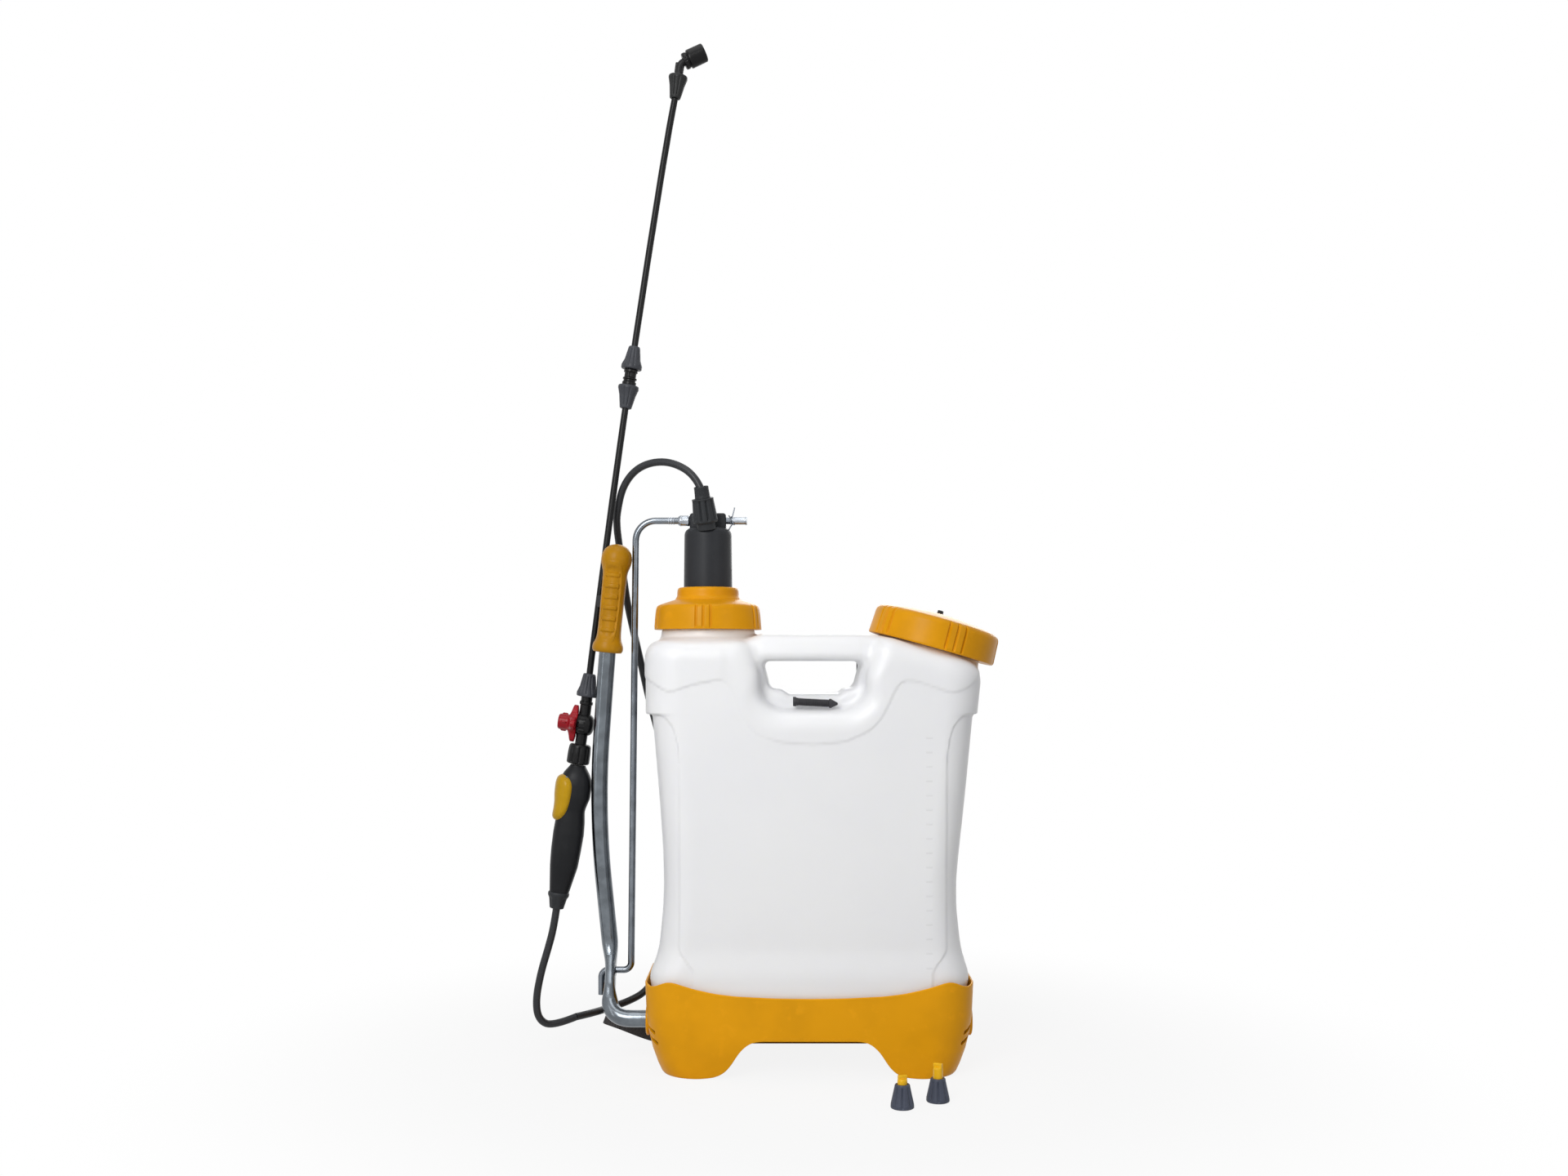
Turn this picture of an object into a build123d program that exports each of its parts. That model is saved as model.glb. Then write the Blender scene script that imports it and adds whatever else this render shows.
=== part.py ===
from build123d import *
import math
import os

# Backpack sprayer, millimetres. +X is the wearer's right, +Y points to the wearer's back, +Z is up.
# The origin is the middle of the foot rim, on the floor.

# ---- tank ----
TANK_WALL = 3.0
TANK_HALF_DEPTH = 82.0
TANK_CORNER = 38.0
TANK_FOOT_HALF = 181.0
TANK_FLARE_HALF = 187.0
TANK_WAIST_HALF = 171.5
TANK_STEP_HALF = 189.0
TANK_FLARE_Z = 113.0
FOOT_LAP = 1.0
TANK_SKIRT_Z = 150.0
TANK_SKIRT_HALF = 176.5
TANK_WAIST_Z = 212.0
TANK_STEP_Z = 417.0
BAND_LEFT = 191.5
BAND_RIGHT = 197.0
BAND_RIGHT_TOP = 209.0
SHOULDER_Z = 505.0
HANDLE_Z = 512.0
HANDLE_LEFT = -62.0
FILLER_TILT = 13.9
FILLER_X = 147.0
FILLER_PLANE_Z = 490.5
BACK_HOLLOW = 22.0
BACK_HOLLOW_RADIUS = 520.0
SLOT_HALF_W = 54.0
SLOT_X = 4.0
SLOT_TOP_Z = 482.0
SLOT_BOTTOM_Z = 443.0
SLOT_ROUND = 9.0
POCKET_DEPTH = 30.0
POCKET_HALF_W = 66.0
POCKET_BOTTOM_Z = 424.0
POCKET_ROUND = 29.0

# ---- base ----
BASE_WALL = 2.6
BASE_HALF_W = 191.5
BASE_HALF_DEPTH = 92.0
BASE_HEIGHT = 110.0
BASE_CORNER = 42.0
BASE_KNEE_Z = 50.0
BASE_KNEE_IN = 4.5
BASE_FOOT_IN = 22.0
BASE_TOE_Z = 12.0
BASE_TOE_IN = 17.0
DECK_TOP_Z = 82.0
DECK_THICK = 3.0
SCOOP_Z = 93.0
SCOOP_HALF = 163.0
ARCH_TOP_HALF = 60.0
ARCH_FOOT_HALF = 116.0
ARCH_HEIGHT = 44.0
ARCH_KNEE = 20.0
ARCH_KNEE_DROP = 14.0
VENT_LENGTH = 20.0
VENT_HEIGHT = 5.0
VENT_PITCH = 12.0
VENT_Z = 42.0
VENT_Y = -57.0
VENT_LEAN = 14.0

# ---- lever and its axle ----
AXLE_Y = -24.0
AXLE_Z = 56.0
LEVER_TUBE = 20.0
LEVER_WALL = 1.5
LEVER_FLAT = 8.7
LEVER_FLAT_WIDTH = 26.4
LEVER_FOOT_X = -236.0
LEVER_BEND = 27.0
LEVER_BOW = (-251.0, 12.0, 310.0)
LEVER_BOW_RADIUS = 330.0
LEVER_TOP_RADIUS = 240.0
LEVER_EYE_WALL = 24.0
LEVER_TAPER = 14.0
LEVER_TAPER_TOP = 26.0
LEVER_ROUND_AGAIN = 8.0
LEVER_TOP_IN_GRIP = 100.0
LEVER_PLUG_PLAY = 0.4
LEVER_SWING = 40.0
HOOK_RADIUS = 65.0
HOOK_ANGLE = 42.5
HOOK_PLAY = 0.4
BUSH_WALL = 4.0
BUSH_FLANGE = 6.0
BUSH_FLANGE_THICK = 3.0
BUSH_LENGTH = 18.0
BUSH_CLEARANCE = 0.2
BUSH_PROUD = 1.2
BUSH_PRESS = 0.05
AXLE_SHORT = 4.0
BOSS_WALL = 4.0
RETAINER_THICK = 3.0
RETAINER_WALL = 6.0
RETAINER_GAP = 2.0

# ---- pump ----
PUMP_X = -120.0
NECK_OUTER = 106.0
NECK_BEAD = 110.0
NECK_BEAD_HEIGHT = 11.0
NECK_HEIGHT = 31.0
NECK_TOP_Z = SHOULDER_Z + NECK_HEIGHT
GASKET_WIDTH = 8.0
GASKET_THICK = 2.0
FLANGE_THICK = 3.0
CAP_OUTER = 122.0
CAP_RIB = 2.4
CAP_PLATE = 7.0
CAP_SKIRT = 19.0
CAP_SKIRT_Z = NECK_TOP_Z - CAP_SKIRT
CAP_ROUND = 4.0
CAP_HOLE_PLAY = 2.0
RIB_WIDTH = 3.0
RIB_STEP = 5.0
RIB_GROUPS = 5
COLLAR_OUTER = 71.0
COLLAR_HEIGHT = 19.5
COLLAR_ROUND = 3.0
CHAMBER_OUTER = 56.0
CHAMBER_WALL = 2.6
CHAMBER_TOP_Z = 633.5
CHAMBER_ROUND = 7.0
CHAMBER_SKIRT_Z = 492.0
CHAMBER_CLEARANCE = 0.45
SLEEVE_WALL = 2.6
SLEEVE_FLOOR_Z = 442.0
BARREL_BORE = 36.0
BARREL_WALL = 2.4
BARREL_BOTTOM_Z = 112.0
PISTON_ROD = 14.0
PISTON_ROD_BORE = 8.0
PISTON_Z = 330.0
PISTON_HEIGHT = 16.0
PISTON_CLEARANCE = 0.4
SEAL_DEPTH = 3.0
SEAL_HEIGHT = 4.0
SEAL_PRESS = 0.1
VALVE_BALL = 10.0
VALVE_LIFT = 3.0
VALVE_SEAT = 4.0
VALVE_THROAT_WALL = 1.6
VALVE_SIDE_PLAY = 0.6
VALVE_BAR = 1.5
STRAINER_HEIGHT = 14.0
STRAINER_WALL = 2.0
STRAINER_SLOT = 7.0
STRAINER_SLOTS = 6

# ---- head, rod pin and link rod ----
HEAD_WIDTH = 44.0
HEAD_FRONT = 7.0
HEAD_BACK = 13.0
HEAD_HEIGHT = 23.0
HEAD_ROUND = 6.0
PIN_UP = 14.2
PIN_Z = CHAMBER_TOP_Z + PIN_UP
ROD_DIAMETER = 8.0
ROD_CLEARANCE = 0.2
ROD_X = -207.0
ROD_FOOT_X = -215.0
ROD_BEND = 24.0
ROD_PIN_END = 23.0
ROD_TAIL_X = -251.0
ROD_TAIL = 30.0
ROD_FOOT_BEND = 9.0
ROD_COLLAR = 13.0
ROD_COLLAR_LENGTH = 12.0
ROD_COLLAR_GAP = 0.5
HAIRPIN_OUT = 5.0
HAIRPIN_LEG = 12.0
HAIRPIN_WIRE = 1.8

# ---- hose outlet and hose ----
OUTLET_X = -113.0
OUTLET_Y = -20.8
OUTLET_TILT = -16.0
OUTLET_SPIGOT = 11.0
OUTLET_LENGTH = 14.0
OUTLET_SEAT = 9.0
OUTLET_NUT = 28.0
OUTLET_NUT_TOP = 19.0
OUTLET_NUT_LENGTH = 30.0
OUTLET_SLEEVE = 17.0
OUTLET_SLEEVE_LENGTH = 18.0
HOSE = 9.0
HOSE_BALL = (-231.0, 38.0, 636.0)
HOSE_UNDER = (-212.5, 66.0, 500.0)
HOSE_CLIP = (-176.0, 85.5, 300.0)
HOSE_CLIP_BLOCK = (20.0, 24.0, 10.0)
HOSE_MEET = (-285.0, 44.0, 46.5)
HOSE_MEET_STEP = (-22.0, -15.0, -3.0)

# ---- filler ----
FILLER_NECK = 118.0
FILLER_BORE = 108.0
FILLER_NECK_HEIGHT = 26.0
LID_OUTER = 149.0
LID_SKIRT = 31.0
LID_WALL = 3.0
LID_CLEARANCE = 0.8
LID_DOME = 10.0
LID_TOP_GAP = 2.0
LID_EDGE = 5.0
VENT_KNOB = 7.0
VENT_KNOB_HEIGHT = 6.0
BASKET_DEPTH = 62.0
BASKET_WALL = 1.6
BASKET_TAPER = 10.0
BASKET_SLOT = 28.0
BASKET_SLOT_WIDTH = 9.0
BASKET_SLOT_DOWN = 34.0
BASKET_BARS = 8

# ---- lance and gun, along the lance's own axis from the gun's tail ----
LANCE_FOOT = (-305.0, 18.0, 180.0)
LANCE_TILT = 8.33
LANCE_TUBE = 8.0
LANCE_BORE = 5.0
NUT_LARGE = 25.5
NUT_SMALL = 16.0
NUT_LENGTH = 28.0
TAIL_NUT = 25.5
TAIL_NUT_END = 17.0
TAIL_NUT_LENGTH = 20.0
GUN_LENGTH = 155.0
GUN_SECTIONS = ((0.0, 0.0, 11.5, 11.0), (0.29, 1.0, 16.0, 14.5), (0.548, 1.5, 18.0, 16.0),
                (0.761, 3.0, 19.5, 17.0), (0.903, 3.0, 18.0, 16.0), (1.0, 1.0, 12.0, 12.0))
GUN_POCKET = 24.0
GUN_POCKET_X = -16.0
GUN_BORE = 8.0
GUN_NUT = 27.0
GUN_NUT_LENGTH = 24.0
GUN_GAP = 2.0
VALVE_LENGTH = 58.0
VALVE_BODY = 13.0
VALVE_DRUM = 24.0
VALVE_DRUM_UP = 24.0
DRUM_ROUND = 2.5
VALVE_RIB = 1.5
DRUM_FRONT = 8.0
DRUM_BACK = 12.5
SPINDLE = 8.0
KNOB_LENGTH = 22.0
KNOB_FLANGE = 21.0
KNOB_FLANGE_THICK = 5.0
KNOB_HUB = 16.0
KNOB_HUB_TOP = 14.0
KNOB_END = 12.0
KNOB_LOBE = 11.0
KNOB_LOBE_OUT = 14.0
KNOB_LOBE_HEIGHT = 9.0
KNOB_LOBES = 4
KNOB_CLEARANCE = 0.3
COUPLER_BODY = 17.0
COUPLER_LENGTH = 22.0
COUPLER_STUB = 2.0
LOWER_TUBE_LENGTH = 324.0
UPPER_TUBE_LENGTH = 304.0
TOP_NUT = 23.0
TOP_NUT_END = 13.0
ELBOW_DIAMETER = 10.0
ELBOW_RISE = 15.0
NOZZLE_ANGLE = 65.0
NOZZLE_CAP = 23.0
NOZZLE_CAP_LENGTH = 28.0
NOZZLE_CAP_OUT = 5.0
NOZZLE_CAP_ROUND = 1.5
NOZZLE_STEM = 14.0
NOZZLE_HOLE = 2.0
NOZZLE_MOUTH = 14.0
NOZZLE_MOUTH_DEPTH = 6.0
TRIGGER_WIDTH = 13.0
TRIGGER_LENGTH = 56.0
TRIGGER_HEAD = 9.0
TRIGGER_OUTLINE = ((-21.0, 0.0), (-23.0, 0.107), (-22.5, 0.679), (-17.0, 0.929), (-12.0, 1.0), (-6.0, 0.964),
                   (-5.0, 0.821), (-12.0, 0.643), (-14.5, 0.0))
TRIGGER_POCKET_PLAY = 3.0
TRIGGER_PIN = 3.0
TRIGGER_PIN_X = -9.0
TRIGGER_PIN_DOWN = 6.0
TRIGGER_PIN_LENGTH = 30.0
TRIGGER_PIN_PLAY = 0.1
PLUNGER = 5.0
PLUNGER_LENGTH = 24.0
PLUNGER_DOWN = 30.0
PLUNGER_HEAD = 3.0
SPRING_WIRE = 0.8
SPRING_LENGTH = 15.0
SPRING_PITCH = 3.0
SPRING_DOWN = 50.0
FIT = 0.25

# ---- grip ----
GRIP_TILT = 5.8
GRIP_FLANGE = 37.0
GRIP_FLANGE_THICK = 12.0
GRIP_BODY = 29.0
GRIP_BALL = 35.0
GRIP_LENGTH = 129.0
GRIP_FOOT = (-241.5, 0.0, 490.0)
GRIP_BORE = 101.0
GRIP_ROUND = 4.0
CLIP_S = 62.0
CLIP_HEIGHT = 14.0
CLIP_WALL = 3.0
CLIP_DEPTH = 22.0
CLIP_ARM_WIDTH = 18.0

# ---- carrying straps ----
PAD_WIDTH = 52.0
PAD_THICK = 12.0
PAD_ROUND = 4.0
PAD_X = 88.0
PAD_TOP_Z = 486.0
PAD_BOTTOM_Z = 185.0
ANCHOR_THICK = 12.0
ANCHOR_HEIGHT = 12.0
ANCHOR_PROUD = 4.0
BUCKLE_WIDTH = 36.0
BUCKLE_HEIGHT = 29.0
BUCKLE_THICK = 5.0
BUCKLE_PITCH = 9.0
LUG_Z = 30.0
LUG_HEIGHT = 10.0
LUG_DEPTH = 6.0
LOOP_ROOT = 25.0
LOOP_REACH = 84.0
LOOP_TILT = 19.0
LOOP_Z = 10.5
LOOP_Y = 70.0
LOOP_HALF = 7.0
LOOP_BAND = 20.0
WEB_WIDTH = 25.0
WEB_THICK = 1.8
WEB_FALL = 14.0
SOFT_GAP = 0.3

# ---- loose parts ----
SPARE_FILTER = 9.0
SPARE_FILTER_LENGTH = 38.0
SPARE_FILTER_X = -15.0
SPARE_FILTER_Y = -64.0
SPARE_RIBS = 8
SPARE_RIB_PITCH = 3.6
SPARE_RIB_GROOVE = 1.6
SPARE_DISC = 4.0
SPARE_POINT = 7.0
LOOSE_CONE = 26.0
LOOSE_CONE_TOP = 16.0
LOOSE_HEIGHT = 26.0
LOOSE_TIP = 11.0
LOOSE_TIP_ROOT = 10.0
LOOSE_TIP_FLAT = 4.0
LOOSE_NOZZLES = (("a", 97.6, -197.0, 9.5), ("b", 138.2, -172.7, 16.0))
FLUTE_DEPTH = 0.8
REACH = 400.0

# ---- places along the lance, from the sizes above ----
LANCE = Pos(*LANCE_FOOT) * Rot(0, LANCE_TILT, 0)
GUN_S = TAIL_NUT_LENGTH
GUN_TOP_S = GUN_S + GUN_LENGTH
GUN_NUT_S = GUN_TOP_S + GUN_GAP
VALVE_S = GUN_NUT_S + GUN_NUT_LENGTH
VALVE_DRUM_S = VALVE_S + VALVE_DRUM_UP
LOWER_NUT_S = VALVE_S + VALVE_LENGTH
LOWER_TUBE_S = LOWER_NUT_S + NUT_LENGTH
COUPLER_NUT_S = LOWER_TUBE_S + LOWER_TUBE_LENGTH
COUPLER_S = COUPLER_NUT_S + NUT_LENGTH
UPPER_NUT_S = COUPLER_S + COUPLER_LENGTH - COUPLER_STUB
UPPER_TUBE_S = UPPER_NUT_S + NUT_LENGTH
TOP_NUT_S = UPPER_TUBE_S + UPPER_TUBE_LENGTH
ELBOW_S = TOP_NUT_S + NUT_LENGTH
TRIGGER_S = GUN_TOP_S - TRIGGER_HEAD - TRIGGER_LENGTH
TRIGGER_PIN_S = TRIGGER_S + TRIGGER_LENGTH - TRIGGER_PIN_DOWN


def rod(radius, z0, z1):
    """A solid round bar on the Z axis from z0 to z1."""
    return Pos(0, 0, (z0 + z1) / 2) * Cylinder(radius, z1 - z0)


def ring(outer, inner, z0, z1):
    """A round tube on the Z axis, given by its two radii."""
    return rod(outer, z0, z1) - rod(inner, z0 - 1, z1 + 1)


def taper(radius0, radius1, z0, z1):
    """A round bar on the Z axis whose radius changes evenly from z0 to z1."""
    return Pos(0, 0, (z0 + z1) / 2) * Cone(radius0, radius1, z1 - z0)


def turned(outline):
    """A body of revolution about Z from (radius, height) points."""
    face = make_face(Polyline(*[(r, 0, z) for r, z in outline], close=True))
    return revolve(face, Axis.Z)


def front_prism(points, y0, y1):
    """A prism through the depth from a front outline of (x, z) points."""
    face = make_face(Polyline(*[(x, y0, z) for x, z in points], close=True))
    return extrude(face, amount=y1 - y0, dir=(0, 1, 0))


def fluted(radius0, radius1, z0, z1, count, depth):
    """A tapered nut with shallow upright grooves cut round it."""
    nut = taper(radius0, radius1, z0, z1)
    groove = Pos(0, 0, (z0 + z1) / 2) * Cylinder(depth, 2 * (z1 - z0))
    lean = math.degrees(math.atan2(radius0 - radius1, z1 - z0))
    middle = (radius0 + radius1) / 2 + 0.4 * depth
    for i in range(count):
        nut -= Rot(0, 0, 360 * i / count) * Pos(middle, 0, (z0 + z1) / 2) * Rot(0, -lean, 0) \
            * Pos(0, 0, -(z0 + z1) / 2) * groove
    return nut


def round_section(half_w, half_d, corner, z):
    return Pos(0, 0, z) * RectangleRounded(2 * half_w, 2 * half_d, corner)


def save(shape, node):
    export_step(shape, f"parts/{node}.step")


# ---- tank ----

def filler_place(height):
    """The filler's own frame: its Z axis leans outwards by the filler's tilt."""
    return Pos(FILLER_X, 0, FILLER_PLANE_Z) * Rot(0, FILLER_TILT, 0) * Pos(0, 0, height)


def hourglass(inset, depth, corner):
    """The waisted middle of the tank, from the flare up to the step, with rounded upright corners."""
    top_z = TANK_STEP_Z - inset
    sides = []
    for side in (-1, 1):
        points = [(side * (half - inset), 0, z)
                  for half, z in ((TANK_FLARE_HALF, TANK_FLARE_Z), (TANK_SKIRT_HALF, TANK_SKIRT_Z),
                                  (TANK_WAIST_HALF, TANK_WAIST_Z), (TANK_STEP_HALF, top_z))]
        sides.append(Spline(*points, tangents=[(-side, 0, 1.6), (side, 0, 11)]))
    foot_line = Line(sides[0] @ 0, sides[1] @ 0)
    top_line = Line(sides[0] @ 1, sides[1] @ 1)
    outline = make_face(Wire([foot_line, sides[1], top_line, sides[0]]))
    block = extrude(outline, depth, both=True, dir=(0, 1, 0))
    outer = [e for e in block.edges() if abs(e.center().X) > TANK_WAIST_HALF / 2]
    upright = [e for e in outer if abs(e.center().Y) > depth / 2]
    return fillet(upright, corner)


def tank_solid(inset):
    """The tank's outer form, shrunk by inset on every side."""
    corner = TANK_CORNER - inset
    depth = TANK_HALF_DEPTH - inset
    foot = loft([round_section(TANK_FOOT_HALF - inset, depth, corner, DECK_TOP_Z + inset),
                 round_section(TANK_FLARE_HALF - inset, depth, corner, TANK_FLARE_Z + FOOT_LAP)])
    lower = foot + hourglass(inset, depth, corner)
    top_z = HANDLE_Z + 2 * LID_DOME
    band = loft([Pos((right - BAND_LEFT) / 2, 0, z)
                 * RectangleRounded(right + BAND_LEFT - 2 * inset, 2 * depth, corner)
                 for z, right in ((TANK_STEP_Z - inset, BAND_RIGHT), (top_z, BAND_RIGHT_TOP))])
    slope = math.tan(math.radians(FILLER_TILT))
    handle_top = HANDLE_Z - inset
    plane_z = FILLER_PLANE_Z - inset
    roof_x = FILLER_X + (plane_z - handle_top) / slope
    roof = [(-REACH, SHOULDER_Z - inset), (HANDLE_LEFT, SHOULDER_Z - inset),
            (HANDLE_LEFT + HANDLE_Z - SHOULDER_Z, handle_top), (roof_x, handle_top),
            (REACH, plane_z - (REACH - FILLER_X) * slope), (REACH, 2 * top_z), (-REACH, 2 * top_z)]
    body = lower + band - front_prism(roof, -REACH, REACH)
    hollow_y = depth - BACK_HOLLOW + BACK_HOLLOW_RADIUS
    body -= Pos(0, hollow_y + inset, 0) * rod(BACK_HOLLOW_RADIUS + inset, 0, 2 * top_z)
    slot_w = SLOT_HALF_W + inset
    slot_h = SLOT_TOP_Z - SLOT_BOTTOM_Z + 2 * inset
    slot_mid = (SLOT_TOP_Z + SLOT_BOTTOM_Z) / 2
    slot = Pos(SLOT_X, 0, slot_mid) * Rot(90, 0, 0) * extrude(
        RectangleRounded(2 * slot_w, slot_h, SLOT_ROUND + inset), REACH, both=True)
    pocket_h = REACH + inset
    pocket = extrude(RectangleRounded(2 * (POCKET_HALF_W + inset), pocket_h, POCKET_ROUND), REACH, both=True)
    pocket = Pos(SLOT_X, POCKET_DEPTH - depth - REACH, POCKET_BOTTOM_Z - inset + pocket_h / 2) \
        * Rot(90, 0, 0) * pocket
    return body - slot - pocket


def tank():
    """Blow-moulded tank: one wall all round, open at the pump neck and at the filler neck."""
    shell = tank_solid(0) - tank_solid(TANK_WALL)
    neck_z0 = SHOULDER_Z - TANK_WALL
    bead = rod(NECK_BEAD / 2, neck_z0, SHOULDER_Z + NECK_BEAD_HEIGHT)
    neck = bead + rod(NECK_OUTER / 2, neck_z0, NECK_TOP_Z)
    shell += Pos(PUMP_X, 0, 0) * neck
    shell -= Pos(PUMP_X, 0, 0) * rod(NECK_OUTER / 2 - TANK_WALL, neck_z0 - 2 * TANK_WALL, NECK_TOP_Z + 1)
    filler = rod(FILLER_NECK / 2, -TANK_WALL, FILLER_NECK_HEIGHT)
    shell += filler_place(0) * filler
    shell -= filler_place(0) * rod(FILLER_BORE / 2, -4 * TANK_WALL, FILLER_NECK_HEIGHT + 1)
    return shell


# ---- base ----

def base_solid(inset):
    """The base's outer form, shrunk by inset at the sides."""
    corner = BASE_CORNER - inset
    sections = [(0, BASE_FOOT_IN, 0.35), (BASE_TOE_Z, BASE_TOE_IN, 0.3), (BASE_KNEE_Z, BASE_KNEE_IN, 0.3),
                (BASE_HEIGHT, 0, 0)]
    return loft([round_section(BASE_HALF_W - drop - inset, BASE_HALF_DEPTH - share * drop - inset, corner, z)
                 for z, drop, share in sections])


def base():
    """Skirt with a deck for the tank, a scooped rim, an arch between its front feet and two axle bosses."""
    inner = base_solid(BASE_WALL)
    deck = Pos(0, 0, DECK_TOP_Z - DECK_THICK / 2) * Box(3 * BASE_HALF_W, 3 * BASE_HALF_W, DECK_THICK)
    part = base_solid(0) - inner + (deck & inner)
    rim = BASE_HEIGHT + 1
    left_edge = Bezier((-SCOOP_HALF, 0, rim), (-0.6 * SCOOP_HALF, 0, SCOOP_Z),
                       (-0.5 * SCOOP_HALF, 0, SCOOP_Z), (0, 0, SCOOP_Z))
    right_edge = Bezier((0, 0, SCOOP_Z), (0.5 * SCOOP_HALF, 0, SCOOP_Z), (0.6 * SCOOP_HALF, 0, SCOOP_Z),
                        (SCOOP_HALF, 0, rim))
    above = Polyline((SCOOP_HALF, 0, rim), (0, 0, 2 * rim), (-SCOOP_HALF, 0, rim))
    part -= extrude(make_face(Wire([left_edge, right_edge] + above.edges())), REACH, both=True, dir=(0, 1, 0))
    knee = ARCH_TOP_HALF + ARCH_KNEE
    knee_z = ARCH_HEIGHT - ARCH_KNEE_DROP
    arch = [(-ARCH_FOOT_HALF, -1), (-knee, knee_z), (-ARCH_TOP_HALF, ARCH_HEIGHT),
            (ARCH_TOP_HALF, ARCH_HEIGHT), (knee, knee_z), (ARCH_FOOT_HALF, -1)]
    part -= front_prism(arch, -REACH, 0)
    vent = Box(REACH, VENT_LENGTH, VENT_HEIGHT)
    for i in range(2):
        part -= Pos(0, VENT_Y, VENT_Z + i * VENT_PITCH) * Rot(VENT_LEAN, 0, 0) * vent
    for side in (-1, 1):
        part += Pos(side * PAD_X, BASE_HALF_DEPTH - BASE_WALL, LUG_Z - LUG_HEIGHT / 2) \
            * Box(WEB_WIDTH + 2 * BOSS_WALL, 2 * LUG_DEPTH, LUG_HEIGHT)
    boss = axle_bush_outer() / 2 + BOSS_WALL
    for side in (-1, 1):
        face = side * bush_face()
        back = face - side * BUSH_LENGTH
        part += Pos((face + back) / 2, AXLE_Y, AXLE_Z) * Rot(0, 90, 0) * Cylinder(boss, BUSH_LENGTH)
        part -= Pos(face, AXLE_Y, AXLE_Z) * Rot(0, 90, 0) \
            * Cylinder(axle_bush_outer() / 2 + BUSH_PRESS, 4 * BUSH_LENGTH)
    return part


def bush_face():
    return BASE_HALF_W + BUSH_PROUD


def axle_bush_outer():
    return LEVER_TUBE + 2 * BUSH_CLEARANCE + 2 * BUSH_WALL


def axle_bush(side):
    """Flanged plastic bush pressed into the base's side for the lever's axle."""
    bore = LEVER_TUBE / 2 + BUSH_CLEARANCE
    sleeve = ring(axle_bush_outer() / 2, bore, -BUSH_LENGTH, 0)
    flange = ring(axle_bush_outer() / 2 + BUSH_FLANGE, bore, 0, BUSH_FLANGE_THICK)
    return Pos(side * bush_face(), AXLE_Y, AXLE_Z) * Rot(0, 90 * side, 0) * (sleeve + flange)


# ---- pump ----

def at_pump(shape):
    return Pos(PUMP_X, 0, 0) * shape


def pump_gasket():
    return at_pump(ring(NECK_OUTER / 2, NECK_OUTER / 2 - GASKET_WIDTH, NECK_TOP_Z, NECK_TOP_Z + GASKET_THICK))


def flange_top():
    return NECK_TOP_Z + GASKET_THICK + FLANGE_THICK


def pump_body():
    """Fixed pump: a wide sleeve that guides the chamber and a narrow barrel down to the tank's floor."""
    guide = CHAMBER_OUTER / 2 + CHAMBER_CLEARANCE
    barrel = BARREL_BORE / 2
    top = flange_top()
    outline = [(guide, top), (NECK_OUTER / 2, top), (NECK_OUTER / 2, top - FLANGE_THICK),
               (guide + SLEEVE_WALL, top - FLANGE_THICK), (guide + SLEEVE_WALL, SLEEVE_FLOOR_Z - SLEEVE_WALL),
               (barrel + BARREL_WALL, SLEEVE_FLOOR_Z - SLEEVE_WALL), (barrel + BARREL_WALL, BARREL_BOTTOM_Z),
               (barrel, BARREL_BOTTOM_Z), (barrel, SLEEVE_FLOOR_Z), (guide, SLEEVE_FLOOR_Z)]
    return at_pump(turned(outline))


def grip_ribs(outer, z0, z1, start):
    """Grip ribs in groups of three round a screw cap, as separate bars to fuse to it."""
    bars = []
    for g in range(RIB_GROUPS):
        for k in (-1, 0, 1):
            angle = start + 360 * g / RIB_GROUPS + RIB_STEP * k
            bar = Pos(outer / 2, 0, (z0 + z1) / 2) * Box(2 * CAP_RIB, RIB_WIDTH, z1 - z0)
            bars.append(Rot(0, 0, angle) * bar)
    return bars


def pump_cap():
    """Ring nut that clamps the pump's flange on the neck."""
    top = flange_top() + CAP_PLATE
    cap = rod(CAP_OUTER / 2, CAP_SKIRT_Z, top)
    cap = fillet(cap.edges().filter_by(GeomType.CIRCLE).group_by(Axis.Z)[-1], CAP_ROUND)
    cap += grip_ribs(CAP_OUTER, CAP_SKIRT_Z + 1, top - CAP_ROUND - 2, -94)
    cap -= rod(NECK_OUTER / 2 + LID_CLEARANCE / 2, CAP_SKIRT_Z - 1, flange_top())
    cap -= rod(CHAMBER_OUTER / 2 + CHAMBER_CLEARANCE + CAP_HOLE_PLAY, CAP_SKIRT_Z - 1, top + 1)
    return at_pump(cap)


def pump_collar():
    """Yellow ring round the chamber on top of the cap."""
    z0 = flange_top() + CAP_PLATE
    collar = ring(COLLAR_OUTER / 2, CHAMBER_OUTER / 2 + CHAMBER_CLEARANCE, z0, z0 + COLLAR_HEIGHT)
    rim = collar.edges().filter_by(GeomType.CIRCLE).group_by(Axis.Z)[-1]
    return at_pump(fillet(rim.sort_by(lambda e: e.length)[-1], COLLAR_ROUND))


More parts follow.
